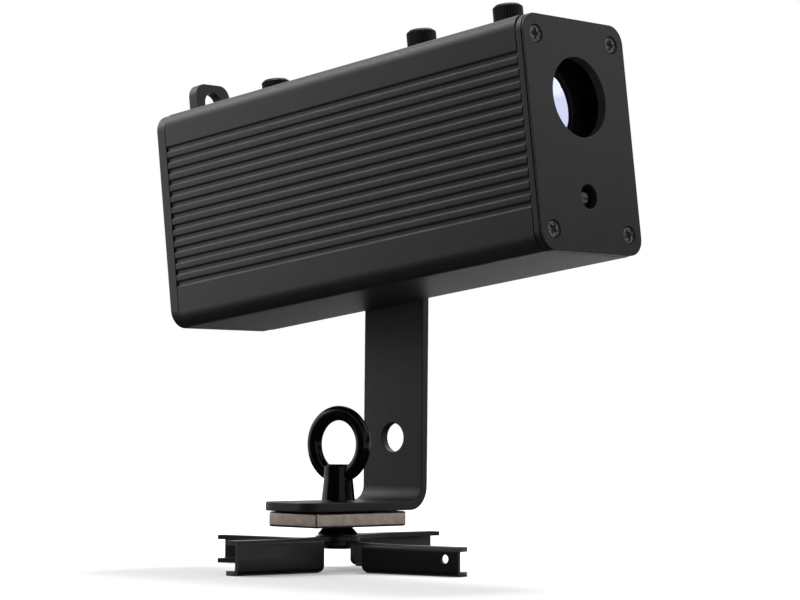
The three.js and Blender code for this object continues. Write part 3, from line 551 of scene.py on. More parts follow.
@dataclass
class Housing:
    """Extruded sleeve with grooved sides between two end plates."""

    head: Head
    wall: float = 2.5
    corner: float = 5.0
    gap: float = 0.3
    groove_count: int = 13
    groove_pitch: float = 3.94
    groove_first: float = 24.48
    groove_mouth: float = 2.15
    groove_floor: float = 1.05
    groove_depth: float = 0.6
    groove_round: float = 0.2
    groove_floor_round: float = 0.12
    port_reach: float = 3.4
    rail_depth: float = 2.6
    rail_top: float = -6.5
    rail: float = 2.0
    port: float = 1.8
    slots: tuple[tuple[float, float], ...] = ((128.0, 155.2), (84.0, 117.2))
    slot_width: float = 4.6
    gobo_slot: tuple[float, float, float] = (30.2, 40.8, 29.6)
    insert: float = 4.6
    plate_corner: float = 6.0
    window: float = 12.93
    sensor: tuple[float, float] = (-19.65, 3.94)
    sink: tuple[float, float, float] = (3.0, 0.4, 2.0)
    sink_edge: float = 0.1
    shadow_line: tuple[float, float, float] = (1.15, 0.5, 0.45)
    tab: tuple[float, float, float] = (16.2, 12.4, 4.5)
    tab_hole: tuple[float, float] = (5.6, 4.0)
    switch: tuple[float, float, float, float] = (-8.0, -21.0, 19.6, 13.2)
    inlet: tuple[float, float, float] = (12.0, -21.0, 4.3)
    edge: float = 0.35

    def groove_line(self) -> list[tuple[float, float, float]]:
        """One grooved side from bottom to top: sideways place, height and corner rounding."""
        out = self.head.width / 2
        line = []
        for i in reversed(range(self.groove_count)):
            z = self.groove_first - i * self.groove_pitch
            line += [(out, z - self.groove_mouth / 2, self.groove_round),
                     (out - self.groove_depth, z - self.groove_floor / 2, self.groove_floor_round),
                     (out - self.groove_depth, z + self.groove_floor / 2, self.groove_floor_round),
                     (out, z + self.groove_mouth / 2, self.groove_round)]
        return line

    def cavity(self) -> list[Point]:
        """The hollow's outline, with the screw ports in its corners and a rail on either side."""
        y, z = self.head.width / 2 - self.wall, self.head.height / 2 - self.wall
        port_y, port_z = self.head.screw_y - self.port_reach, self.head.screw_z - self.port_reach
        rail_foot, rail_in = self.rail_top - self.rail, y - self.rail_depth
        right = [(port_y, -z), (port_y, -port_z), (y, -port_z), (y, rail_foot), (rail_in, rail_foot),
                 (rail_in, self.rail_top), (y, self.rail_top), (y, port_z), (port_y, port_z), (port_y, z)]
        return right + [(-a, b) for a, b in reversed(right)]

    def top_cut(self, rear: float, front: float, width: float, radius: float) -> Shape:
        """A cutter through the roof between two places along the head."""
        top = self.head.height / 2
        outline = rectangle(front - rear, width, (rear + front) / 2)
        return moved(prism(outline, self.wall + 2 * OVERRUN, Axis.Z, [radius]), z=top - self.wall - OVERRUN)

    def sleeve(self) -> None:
        """The extrusion, cut for the knobs, the gobo holder, the screws and the tilt insert."""
        y, z = self.head.width / 2, self.head.height / 2
        side = self.groove_line()
        ring = [(-y, -z, self.corner), (y, -z, self.corner), *side, (y, z, self.corner), (-y, z, self.corner)]
        ring += [(-a, b, r) for a, b, r in reversed(side)]
        rear = self.head.tail + self.gap
        long = self.head.length - self.head.plate - self.gap - rear
        tube = moved(prism([(a, b) for a, b, _ in ring], long, Axis.X, [r for _, _, r in ring]), rear)
        tools = [moved(prism(self.cavity(), long + 2 * OVERRUN, Axis.X), rear - OVERRUN)]
        tools += [self.top_cut(a, b, self.slot_width, 0.49 * self.slot_width) for a, b in self.slots]
        tools.append(self.top_cut(*self.gobo_slot, 0.3))
        hole = rod(self.insert, y - self.wall - OVERRUN, y + OVERRUN, axis=Axis.Y)
        tools.append(moved(hole, self.head.axis_from_rear))
        tools += [moved(rod(self.port, -OVERRUN, self.head.length, 20, Axis.X), y=a, z=b)
                  for a, b in self.head.screw_places()]
        shape = softened(combined(Join.CUT, tube, *tools), self.edge)
        fitted(shape, "sleeve_extrusion", self.head.frame(), POWDER_COAT, "housing_sleeve")

    def sinks(self, from_front: bool) -> list[Shape]:
        """Cutters for the countersunk screw holes of an end plate."""
        wide, straight, deep = self.sink
        end = self.head.tail + OVERRUN
        profile = [(0.0, -OVERRUN), (wide, -OVERRUN), (wide, straight), (self.port, deep),
                   (self.port, end), (0.0, end)]
        return [self.head.facing_in(turned(profile, 40), from_front, y, z)
                for y, z in self.head.screw_places()]

    def in_a_hole(self, place: Vector) -> bool:
        """Whether a point of the front plate is on a screw hole, the window or the sensor hole."""
        height, radius = self.sensor
        holes = [(y, z, self.sink[0]) for y, z in self.head.screw_places()]
        holes += [(0.0, self.head.optics_height, self.window), (0.0, height, radius)]
        return any(math.hypot(place.y - y, place.z - z) < reach + WELD for y, z, reach in holes)

    def line_cutter(self) -> Shape:
        """A frame that cuts the thin line round the front plate, behind its face."""
        back, wide, deep = self.shadow_line
        y, z = self.head.width, self.head.height
        around = prism(rectangle(y + OVERRUN, z + OVERRUN), wide, Axis.X)
        core = prism(rectangle(y - 2 * deep, z - 2 * deep), wide + 2 * OVERRUN, Axis.X,
                     [self.plate_corner - deep])
        return moved(combined(Join.CUT, around, moved(core, -OVERRUN)), self.head.length - back)

    def lens_plate(self) -> None:
        """Front plate with the lens window and the sensor hole."""
        through = self.head.plate + 2 * OVERRUN
        rear = self.head.length - self.head.plate
        sheet = moved(prism(rectangle(self.head.width, self.head.height), self.head.plate, Axis.X,
                            [self.plate_corner]), rear)
        window = moved(rod(self.window, 0.0, through, 96, Axis.X), rear - OVERRUN, 0.0, self.head.optics_height)
        height, radius = self.sensor
        eye = moved(rod(radius, 0.0, through, 48, Axis.X), rear - OVERRUN, 0.0, height)
        blank = softened(combined(Join.CUT, sheet, window, eye), self.edge, 3)
        shape = softened(combined(Join.CUT, blank, self.line_cutter(), *self.sinks(True)), self.sink_edge)
        # The walls of the window, the sensor hole and the screw sinks take the darker anodised black: painted shade
        # in these holes.
        behind = self.head.length - self.edge - WELD
        marked(shape, lambda c: c.x < behind and self.in_a_hole(c))
        fitted(shape, "lens_plate", self.head.frame(), POWDER_COAT, "front_plate", marks=ANODISED_AND_RECESS_SHADE)

    def tail_plate(self) -> None:
        """Rear plate with its safety-line tab, and openings for the switch and the inlet."""
        y, z = self.head.width / 2, self.head.height / 2
        wide, rise, tab_corner = self.tab
        sheet = prism(rectangle(2 * y, 2 * z), self.head.tail, Axis.X, [self.plate_corner])
        ear_outline = [(-wide / 2, 0.0), (wide / 2, 0.0), (wide / 2, z + rise), (-wide / 2, z + rise)]
        ear = prism(ear_outline, self.head.tail, Axis.X, [0.0, 0.0, tab_corner, tab_corner])
        through = self.head.tail + 2 * OVERRUN
        up, radius = self.tab_hole
        tools = [moved(rod(radius, -OVERRUN, through, 56, Axis.X), z=z + up)]
        a, b, switch_width, switch_height = self.switch
        tools.append(moved(prism(rectangle(switch_width, switch_height, a, b), through, Axis.X), -OVERRUN))
        a, b, radius = self.inlet
        tools.append(moved(rod(radius, -OVERRUN, through, 40, Axis.X), 0.0, a, b))
        blank = softened(combined(Join.CUT, combined(Join.ADD, sheet, ear), *tools), self.edge, 3)
        shape = softened(combined(Join.CUT, blank, *self.sinks(False)), self.sink_edge)
        fitted(shape, "tail_plate", self.head.frame(), POWDER_COAT, "rear_plate")

    def build(self) -> None:
        """Makes the sleeve and both plates."""
        self.sleeve()
        self.lens_plate()
        self.tail_plate()


@dataclass
class EndScrews:
    """Countersunk screws with a cross recess that hold the end plates."""

    head: Head
    radius: float = 2.7
    shank: float = 1.5
    sunk: float = 2.0
    length: float = 11.0
    below: float = 0.4
    rim: float = 0.2
    recess: tuple[float, float, float] = (3.7, 1.0, 1.3)
    twists: tuple[float, ...] = (38.0, 0.0, 70.0, 14.0)

    def screw(self, twist: float) -> Shape:
        """One screw pointing along +Z, its recess turned by an angle in degrees."""
        body = turned([(0.0, self.below), (self.radius - self.rim, self.below),
                       (self.radius, self.below + self.rim), (self.shank, self.sunk),
                       (self.shank, self.length), (0.0, self.length)], 40)
        long, wide, deep = self.recess
        wings = [moved(prism(rectangle(long, wide), deep + OVERRUN, Axis.Z, [0.2]), z=-OVERRUN) for _ in range(2)]
        swung(wings[1], QUARTER)
        middle = moved(turned([(0.0, -OVERRUN), (wide, -OVERRUN), (wide, deep / 2), (0.0, 1.4 * deep)], 16))
        shape = combined(Join.CUT, body, *wings, middle)
        # The cross recess's walls are marked for the darker anodised black: painted shade inside the recess.
        low, high, reach = self.below + WELD, 1.2 * deep, long / 2 + WELD
        marked(shape, lambda c: low < c.z < high and math.hypot(c.x, c.y) < reach)
        return swung(shape, math.radians(twist))

    def build(self) -> None:
        """Makes the four screws of either plate."""
        for label, from_front in (("front_screw", True), ("rear_screw", False)):
            for index, (y, z) in enumerate(self.head.screw_places()):
                shape = self.head.facing_in(self.screw(self.twists[index]), from_front, y, z)
                # The marked recess walls take the painted shade of the darker anodised black.
                fitted(shape, f"cross_{label}_{index + 1}", self.head.frame(), BLACK_ZINC, f"{label}_{index + 1}",
                       marks=ANODISED_AND_RECESS_SHADE)


@dataclass
class ThumbScrews:
    """Fluted thumb screws that clamp the focus, zoom and gobo slides."""

    head: Head
    radius: float = 4.95
    height: float = 9.9
    flutes: int = 36
    flute_depth: float = 0.35
    flats_per_flute: int = 6
    chamfer: float = 0.9
    shank: float = 2.0
    shank_length: float = 9.0
    feet: tuple[tuple[str, float, float], ...] = (
        ("focus", 142.6, 37.8), ("zoom", 104.6, 37.8), ("gobo", 35.5, 35.2))

    def knob(self) -> Shape:
        """One knob standing on height 0, its shank pointing down."""
        r, top, slope = self.radius, self.height, self.chamfer
        shape = turned([(0.0, -self.shank_length), (self.shank, -self.shank_length), (self.shank, 0.0),
                        (r - 0.3, 0.0), (r, 0.3), (r, 0.6), (r, top - slope), (r - 0.25, top - 0.6 * slope),
                        (r - 0.75, top - 0.25 * slope), (r - slope, top), (r - 1.6 * slope, top),
                        (r - 1.8 * slope, top - 0.25), (0.0, top - 0.25)],
                       self.flutes * self.flats_per_flute)
        for vert in shape.verts:
            reach = math.hypot(vert.co.x, vert.co.y)
            if reach > r - 0.9 and vert.co.z >= 0.0:
                wave = (1 - math.cos(self.flutes * math.atan2(vert.co.y, vert.co.x))) / 2
                share = 1 - self.flute_depth * wave ** 2 / reach
                vert.co.x, vert.co.y = vert.co.x * share, vert.co.y * share
        return shape

    def build(self) -> None:
        """Makes the three thumb screws."""
        for label, x, foot in self.feet:
            shape = moved(self.knob(), x, 0.0, foot)
            fitted(shape, f"{label}_knob", self.head.frame(), BLACK_OXIDE, f"{label}_thumb_screw")


@dataclass
class Optics:
    """Lenses with their rings."""

    head: Head
    lenses: tuple[tuple[str, float, float, float, float, float], ...] = (
        ("focus_lens", 152.5, 13.9, -4.0, -3.2, 12.1), ("zoom_lens", 108.6, 13.9, -4.0, -3.2, 12.1),
        ("condenser_lens", 19.3, 14.3, 2.4, 4.5, 14.3))
    hollow: tuple[float, float] = (13.6, 4.6)
    rings: tuple[tuple[str, float], ...] = (("focus_lens_ring", 153.1), ("zoom_lens_ring", 109.2))
    ring: tuple[float, float, float] = (13.62, 13.9, 1.4)
    arc: int = 12

    def lens(self, flat: float, radius: float, edge: float, crown: float, swell: float) -> Shape:
        """Plano-convex lens along X.

        Args:
            flat: Where its flat face is.
            radius: Radius of its rim.
            edge: How far the rim reaches from the flat, below zero where that is to the rear.
            crown: How far the crown stands on the rim, with the same hand.
            swell: Radius of the crown's foot.

        Returns:
            The lens.
        """
        foot = flat + edge
        ball = (swell ** 2 + crown ** 2) / (2 * crown)
        spread = math.asin(swell / abs(ball))
        turns = [spread * (1 - i / self.arc) for i in range(self.arc + 1)]
        curve = [(abs(ball) * math.sin(a), foot + crown - ball * (1 - math.cos(a))) for a in turns]
        rim = [(radius, foot)] if radius > swell else []
        return turned([(0.0, flat), (radius, flat), *rim, *curve], 96, Axis.X)

    def hollowed(self, lens: Shape, flat: float) -> Shape:
        """Grinds a lens's front hollow and marks the hollow for its coat."""
        reach, sag = self.hollow
        ball = (reach ** 2 + sag ** 2) / (2 * sag)
        spread = math.asin(reach / ball)
        turns = [spread * i / self.arc for i in range(self.arc + 1)]
        bowl = [(ball * math.sin(a), flat - sag + ball * (1 - math.cos(a))) for a in turns]
        cutter = turned([*bowl, (reach, flat + OVERRUN), (0.0, flat + OVERRUN)], 96, Axis.X)
        shape = combined(Join.CUT, lens, cutter)
        return marked(shape, lambda c: c.x > flat - sag - WELD and math.hypot(c.y, c.z) < reach)

    def build(self) -> None:
        """Makes the lenses and the rings that hold the moving ones."""
        for name, *sizes in self.lenses:
            lens = self.lens(*sizes)
            if name == "focus_lens":
                lens = self.hollowed(lens, sizes[0])
            fitted(moved(lens, z=self.head.optics_height), f"{name}_polished", self.head.frame(), OPTICAL_GLASS,
                   name, marks=FRONT_COAT)
        bore, out, long = self.ring
        for name, rear in self.rings:
            ring = turned([(bore, rear), (out, rear), (out, rear + long), (bore, rear + long), (bore, rear)],
                          80, Axis.X)
            fitted(moved(softened(ring, 0.2), z=self.head.optics_height), f"{name}_turned",
                   self.head.frame(), ANODISED_AND_RECESS_SHADE, name)


@dataclass
class Sensor:
    """Infra-red receiver: a domed tip on a stem that stands on the control board."""

    head: Head
    height: float = -19.65
    radius: float = 3.3
    tip: float = 167.4
    rear: float = 157.0
    front: float = 160.0
    foot: float = -25.62
    arc: int = 10

    def build(self) -> None:
        """Makes the dome and its stem as one moulding."""
        r = self.radius
        cap = [(r * math.cos(QUARTER * i / self.arc), self.tip - r + r * math.sin(QUARTER * i / self.arc))
               for i in range(self.arc + 1)]
        dome = moved(turned([(0.0, self.rear), (r, self.rear), *cap], 48, Axis.X), z=self.height)
        stem = box((self.rear, -r, self.foot), (self.front, r, self.height + r))
        fitted(softened(combined(Join.ADD, dome, stem), 0.15), "sensor_dome", self.head.frame(), SENSOR_LENS,
               "sensor_eye")


@dataclass
class RearControls:
    """Rocker switch in its frame, and the charging inlet."""

    head: Head
    inlet_y: float = 12.0
    inlet_z: float = -21.0
    collar: float = 5.6
    barrel: float = 4.0
    bore: float = 2.8
    deep: float = 9.0
    long: float = 11.0
    proud: float = 1.3
    gap: float = 0.3
    pin: float = 1.0

    def build(self) -> None:
        """Makes the switch and the inlet."""
        fitted(softened(copied("switch_frame"), 0.35, 3), "rocker_frame", ROW, MOULDED_ABS, "switch_frame")
        fitted(softened(copied("switch_paddle"), 0.45, 3), "rocker_paddle", ROW, MOULDED_ABS, "switch_paddle")
        socket = turned([(0.0, self.deep), (self.bore, self.deep), (self.bore, -self.proud),
                         (self.collar, -self.proud), (self.collar, -self.gap), (self.barrel, -self.gap),
                         (self.barrel, self.long), (0.0, self.long)], 56, Axis.X)
        pin = turned([(0.0, 0.2), (self.pin / 2, 0.2), (self.pin, 0.7), (self.pin, self.deep + self.gap),
                      (0.0, self.deep + self.gap)], 24, Axis.X)
        shape = softened(combined(Join.ADD, socket, pin), 0.3, 3)
        fitted(moved(shape, 0.0, self.inlet_y, self.inlet_z), "inlet_socket", self.head.frame(), MOULDED_ABS,
               "charge_inlet")


@dataclass
class TiltMount:
    """Bent strip bracket, friction washer and the lobed knob that clamps the head's angle."""

    head: Head
    width: float = 27.5
    thickness: float = 3.0
    bend: float = 5.0
    foot: float = 19.9
    foot_near: float = -25.5
    foot_corner: float = 8.0
    near: float = 26.6
    hole: float = 4.95
    hole_height: float = 44.46
    screw: float = 3.0
    stud: float = 3.3
    washer: tuple[float, float, float] = (11.0, 25.05, 26.3)
    hub: tuple[float, float] = (7.5, 29.9)
    grip: tuple[float, float, float] = (11.0, 32.9, 41.9)
    lobes: int = 8
    lobe_depth: float = 1.1
    screw_rod: tuple[float, float] = (2.7, 13.0)
    edge: float = 0.4

    def bracket(self) -> None:
        """The strip, bent once, its upper end round and its foot's near corners rounded."""
        far, top = self.near + self.thickness, self.head.axis_height + self.width / 2
        foot_top = self.foot + self.thickness
        side = [(self.foot_near, self.foot), (far, self.foot), (far, top), (self.near, top),
                (self.near, foot_top), (self.foot_near, foot_top)]
        strip = prism(side, self.width, Axis.X, [0.0, self.bend + self.thickness, 0.0, 0.0, self.bend, 0.0])
        moved(strip, -self.width / 2)
        half = self.width / 2
        low = self.foot - OVERRUN
        face = prism([(-half, low), (half, low), (half, top), (-half, top)], far - self.foot_near + 2 * OVERRUN,
                     Axis.Y, [0.0, 0.0, 0.999 * half, 0.999 * half])
        moved(face, y=self.foot_near - OVERRUN)
        plan = prism(rectangle(self.width, 2 * (far - self.foot_near), 0.0, far), top + OVERRUN, Axis.Z,
                     [self.foot_corner])
        shape = combined(Join.KEEP, strip, face, plan)
        tilt_hole = moved(rod(self.screw, self.near - OVERRUN, far + OVERRUN, 48, Axis.Y), z=self.head.axis_height)
        strip_hole = moved(rod(self.hole, self.near - OVERRUN, far + OVERRUN, 64, Axis.Y), z=self.hole_height)
        stud_hole = rod(self.stud, self.foot - OVERRUN, foot_top + OVERRUN)
        shape = softened(combined(Join.CUT, shape, tilt_hole, strip_hole, stud_hole), self.edge, 3)
        fitted(shape, "bent_bracket", stud_frame(), POWDER_COAT, "tilt_bracket")

    def knob(self) -> None:
        """Hand knob with soft lobes, a hub, and its clamping screw."""
        hub, face = self.hub
        grip, low, high = self.grip
        round_off = 1.2
        shape = turned([(0.0, low), (grip - 0.6, low), (grip, low + 0.6), (grip, high - round_off),
                        (grip - 0.35, high - 0.35), (grip - round_off, high), (grip - 3.5, high),
                        (grip - 4.2, high - 0.7), (0.0, high - 0.7)], self.lobes * 16, Axis.Y)
        for vert in shape.verts:
            reach = math.hypot(vert.co.x, vert.co.z)
            if reach > grip - 2:
                wave = (1 - math.cos(self.lobes * math.atan2(vert.co.z, vert.co.x))) / 2
                share = 1 - self.lobe_depth * wave / reach
                vert.co.x, vert.co.z = vert.co.x * share, vert.co.z * share
        collar = rod(hub, face, low + 0.2, 56, Axis.Y)
        thread, end = self.screw_rod
        shape = combined(Join.ADD, shape, collar, rod(thread, end, face + 0.2, 32, Axis.Y))
        fitted(moved(softened(shape, 0.25), z=self.head.axis_height), "lobed_knob", stud_frame(), MOULDED_ABS,
               "tilt_knob")

    def washer_disc(self) -> None:
        """Flat washer between the head and the bracket."""
        out, low, high = self.washer
        ring = turned([(self.screw, low), (out, low), (out, high), (self.screw, high), (self.screw, low)], 72, Axis.Y)
        fitted(moved(softened(ring, 0.2), z=self.head.axis_height), "washer_disc", stud_frame(), MOULDED_ABS,
               "friction_washer")

    def build(self) -> None:
        """Makes the bracket, the washer and the knob."""
        self.bracket()
        self.washer_disc()
        self.knob()


@dataclass
class StudStack:
    """What is threaded on the stud: magnet, cone nut and eye nut."""

    magnet: tuple[float, float] = (22.9, 43.6)
    magnet_heights: tuple[float, float] = (14.5, 19.6)
    magnet_round: float = 0.8
    hole: float = 3.3
    nut: tuple[Point, ...] = ((6.9, 11.6), (6.65, 12.3), (4.85, 14.2))
    stud_radius: float = 3.0
    stud_foot: tuple[float, float] = (5.0, 0.8)
    stud_heights: tuple[float, float] = (7.8, 33.0)
    collar: tuple[Point, ...] = ((5.7, 23.2), (4.95, 30.2), (4.95, 34.7), (4.25, 35.4))
    collar_ceiling: float = 33.4
    ring_height: float = 42.1
    ring_radius: float = 10.6
    rod_radius: float = 2.5
    turn_degrees: float = 4.7

    def magnet_bar(self) -> None:
        """Plated bar magnet with rounded edges."""
        wide, long = self.magnet
        low, high = self.magnet_heights
        bar = softened(box((-wide / 2, -long / 2, low), (wide / 2, long / 2, high)), self.magnet_round, 4)
        shape = combined(Join.CUT, bar, rod(self.hole, low - OVERRUN, high + OVERRUN))
        fitted(shape, "magnet_bar", stud_frame(), NICKEL_PLATE, "magnet_block")

    def cone_nut(self) -> None:
        """Nut with a coned top under the magnet."""
        ring = [(self.hole, self.nut[0][1]), *self.nut, (self.hole, self.nut[-1][1]), (self.hole, self.nut[0][1])]
        fitted(softened(turned(ring), 0.15), "coned_nut", stud_frame(), BLACK_OXIDE, "cone_nut")

    def stud(self) -> None:
        """Threaded stud with a thin round head."""
        foot, thick = self.stud_foot
        low, high = self.stud_heights
        r = self.stud_radius
        shape = turned([(0.0, low - thick), (foot, low - thick), (foot, low), (r, low), (r, high - 0.6),
                        (r - 0.6, high), (0.0, high)])
        fitted(softened(shape, 0.25), "threaded_stud", stud_frame(), BLACK_OXIDE, "clip_stud")

    def eye_nut(self) -> None:
        """Forged eye on a tapered collar, bored for the stud."""
        foot, top = self.collar[0][1], self.collar[-1][1]
        collar = turned([(0.0, foot), *self.collar, (0.0, top)], 64)
        eye = self.ring_height
        circle = [(self.ring_radius + self.rod_radius * math.cos(math.tau * i / 28),
                   self.rod_radius * math.sin(math.tau * i / 28)) for i in range(28)]
        ring = moved(turned([*circle, circle[0]], 96, Axis.Y), z=eye)
        shape = softened(combined(Join.ADD, collar, ring), 0.6, 3, math.radians(28))
        shape = combined(Join.CUT, shape, rod(self.hole, foot - OVERRUN, self.collar_ceiling))
        swung(shape, math.radians(self.turn_degrees))
        fitted(shape, "forged_eye", stud_frame(), GLOSS_ENAMEL, "eye_nut")

    def build(self) -> None:
        """Makes the whole stack."""
        self.magnet_bar()
        self.cone_nut()
        self.stud()
        self.eye_nut()


@dataclass
class ScissorClip:
    """Two folded arms crossed on the stud, with a channel at either end for a ceiling bar's lips."""

    sheet: float = 1.5
    web: float = 15.37
    inner: float = 19.3
    tip: float = 55.9
    flange: float = 6.0
    bend: float = 1.8
    root: float = 12.0
    hub: float = 7.5
    web_corner: float = 2.5
    stud: float = 3.3
    hole: float = 1.5
    hole_from_tip: float = 5.1
    hole_height: float = 5.75
    edge: float = 0.22
    arms: tuple[tuple[str, float, int, float], ...] = (
        ("clip_arm_upper", 11.3, 1, -94.8), ("clip_arm_lower", 9.6, -1, 11.4))

    def channel(self, top: float, hand: int) -> Shape:
        """One C channel along +X, its lower inner corner rounded."""
        back, mouth, t = self.web, self.web - self.flange, self.sheet
        outline = [(mouth, 0.0), (back, 0.0), (back, top), (mouth, top), (mouth, top - t), (back - t, top - t),
                   (back - t, t), (mouth, t)]
        radii = [0.0, self.bend, self.bend, 0.0, 0.0, self.bend - t, self.bend - t, 0.0]
        shape = prism([(hand * y, z) for y, z in outline], self.tip - self.inner, Axis.X, radii)
        moved(shape, self.inner)
        corner = self.web_corner
        reach = sorted((hand * (back - self.flange / 2), hand * (back + OVERRUN)))
        square = box((self.inner - OVERRUN, reach[0], -OVERRUN), (self.inner + corner, reach[1], corner))
        arc = moved(rod(corner, reach[0] - OVERRUN, reach[1] + OVERRUN, 48, Axis.Y), self.inner + corner, 0.0, corner)
        return combined(Join.CUT, shape, combined(Join.CUT, square, arc))

    def plan(self, hand: int) -> list[Point]:
        """Outline of the flat sheet that joins both channels."""
        mouth, back = self.web - self.flange, self.web - self.sheet
        half = [(self.inner, mouth), (self.inner, back), (self.tip, back), (self.tip, mouth),
                (self.inner + self.root, mouth)]
        return [(x, hand * y) for x, y in half] + [(-x, -hand * y) for x, y in half]

    def arm(self, top: float, hand: int) -> Shape:
        """One arm, each half a half turn of the other."""
        low = top - self.sheet
        strip = moved(prism(self.plan(hand), self.sheet, Axis.Z), z=low)
        opposite = swung(self.channel(top, hand), math.pi)
        shape = combined(Join.ADD, self.channel(top, hand), opposite, strip, rod(self.hub, low, top, 72))
        shape = combined(Join.CUT, shape, rod(self.stud, -OVERRUN, top + OVERRUN))
        if hand < 0:
            bore = rod(self.hole, -self.web - OVERRUN, self.flange - self.web, 32, Axis.Y)
            shape = combined(Join.CUT, shape, moved(bore, self.tip - self.hole_from_tip, 0.0, self.hole_height))
        return softened(shape, self.edge)

    def build(self) -> None:
        """Makes both arms."""
        for node, top, hand, degrees in self.arms:
            shape = swung(self.arm(top, hand), math.radians(degrees))
            fitted(shape, node.replace("clip_arm", "folded_arm"), stud_frame(), COATED_STEEL, node)


@dataclass
class Interior:
    """The CAD pieces whose own shapes stay, each given its finish."""

    slots: dict[str, tuple[str, ...]] = field(default_factory=lambda: {
        "black_anodised": ("focus_carriage", "zoom_carriage", "gobo_gate", "gobo_holder", "condenser_barrel"),
        "bare_aluminium": ("heat_spreader",),
        "bare_steel": ("gobo_disc", "gobo_retaining_ring", "tilt_insert"),
        "white_board": ("led_board",),
        "emitter_gel": ("led_emitter",),
        "cell_sleeve": ("battery_cell_1", "battery_cell_2"),
        "black_plastic": ("battery_tray",),
        "green_board": ("control_board",),
    })

    def build(self) -> None:
        """Puts the finishes on."""
        for slot, names in self.slots.items():
            for name in names:
                mesh = frame["nodes"][name].data
                mesh.materials.clear()
                mesh.materials.append(FINISHES[slot].material())
                log.info("%s: finished in %s", name, FINISHES[slot].name)


@dataclass(frozen=True)
class Softbox:
    """An area lamp, by where it stands, what it looks at, its size and its power."""

    name: str
    place: tuple[float, float, float]
    width: float
    height: float
    watts: float
    aim: tuple[float, float, float] = (0.0, 0.0, 0.11)

    def build(self) -> None:
        """Makes the lamp, which the camera itself doesn't see."""
        lamp = bpy.data.lights.new(self.name, "AREA")
        lamp.shape, lamp.size, lamp.size_y, lamp.energy = "RECTANGLE", self.width, self.height, self.watts
        stand = bpy.data.objects.new(self.name, lamp)
        stand.location = self.place
        look = Vector(self.aim) - Vector(self.place)
        stand.rotation_mode = "QUATERNION"
        stand.rotation_quaternion = look.to_track_quat("-Z", "Y")
        stand.visible_camera = False
        bpy.context.scene.collection.objects.link(stand)


def studio_sheet(name: str, width: float, height: float,
                 place: Matrix) -> tuple[bpy.types.Object, bpy.types.NodeTree]:
    """A flat rectangle of the studio, marked as no part of the object.

    Args:
        name: What it is called.
        width: Its size one way.
        height: Its size the other way.
        place: Where its middle stands and how it is turned.

    Returns:
        The rectangle, and its material's empty nodes.
    """
    shape = bmesh.new()
    bmesh.ops.create_grid(shape, x_segments=1, y_segments=1, size=0.5)
    bmesh.ops.scale(shape, verts=shape.verts, vec=(width, height, 1.0))
    bmesh.ops.transform(shape, matrix=place, verts=shape.verts)
    mesh = bpy.data.meshes.new(name)
    shape.to_mesh(mesh)
    shape.free()
    sheet = bpy.data.objects.new(name, mesh)
    bpy.context.scene.collection.objects.link(sheet)
    paper = bpy.data.materials.new(f"studio_{name}")
    paper.use_nodes = True
    paper.node_tree.nodes.clear()
    mesh.materials.append(paper)
    return sheet, paper.node_tree


@dataclass(frozen=True)
class Card:
    """An emitting grey sheet that only gloss sees, a painted dark reflection in the coats, by its place, size and
    turn in degrees.
    """

    name: str
    place: tuple[float, float, float]
    width: float
    height: float
    lean: float
    turn: float
    tone: str

    def build(self) -> None:
        """Makes the card, which throws no shadow and lights nothing by itself."""
        place = (Matrix.Translation(self.place) @ Matrix.Rotation(math.radians(self.turn), 4, "Z")
                 @ Matrix.Rotation(math.radians(self.lean), 4, "X"))
        card, tree = studio_sheet(self.name, self.width, self.height, place)
        tone = add_node(tree, "ShaderNodeEmission", {"Color": linear(self.tone)})
        add_node(tree, "ShaderNodeOutputMaterial", links={"Surface": tone.outputs["Emission"]})
        card.visible_camera = card.visible_diffuse = card.visible_transmission = False
        card.visible_shadow = card.visible_volume_scatter = False


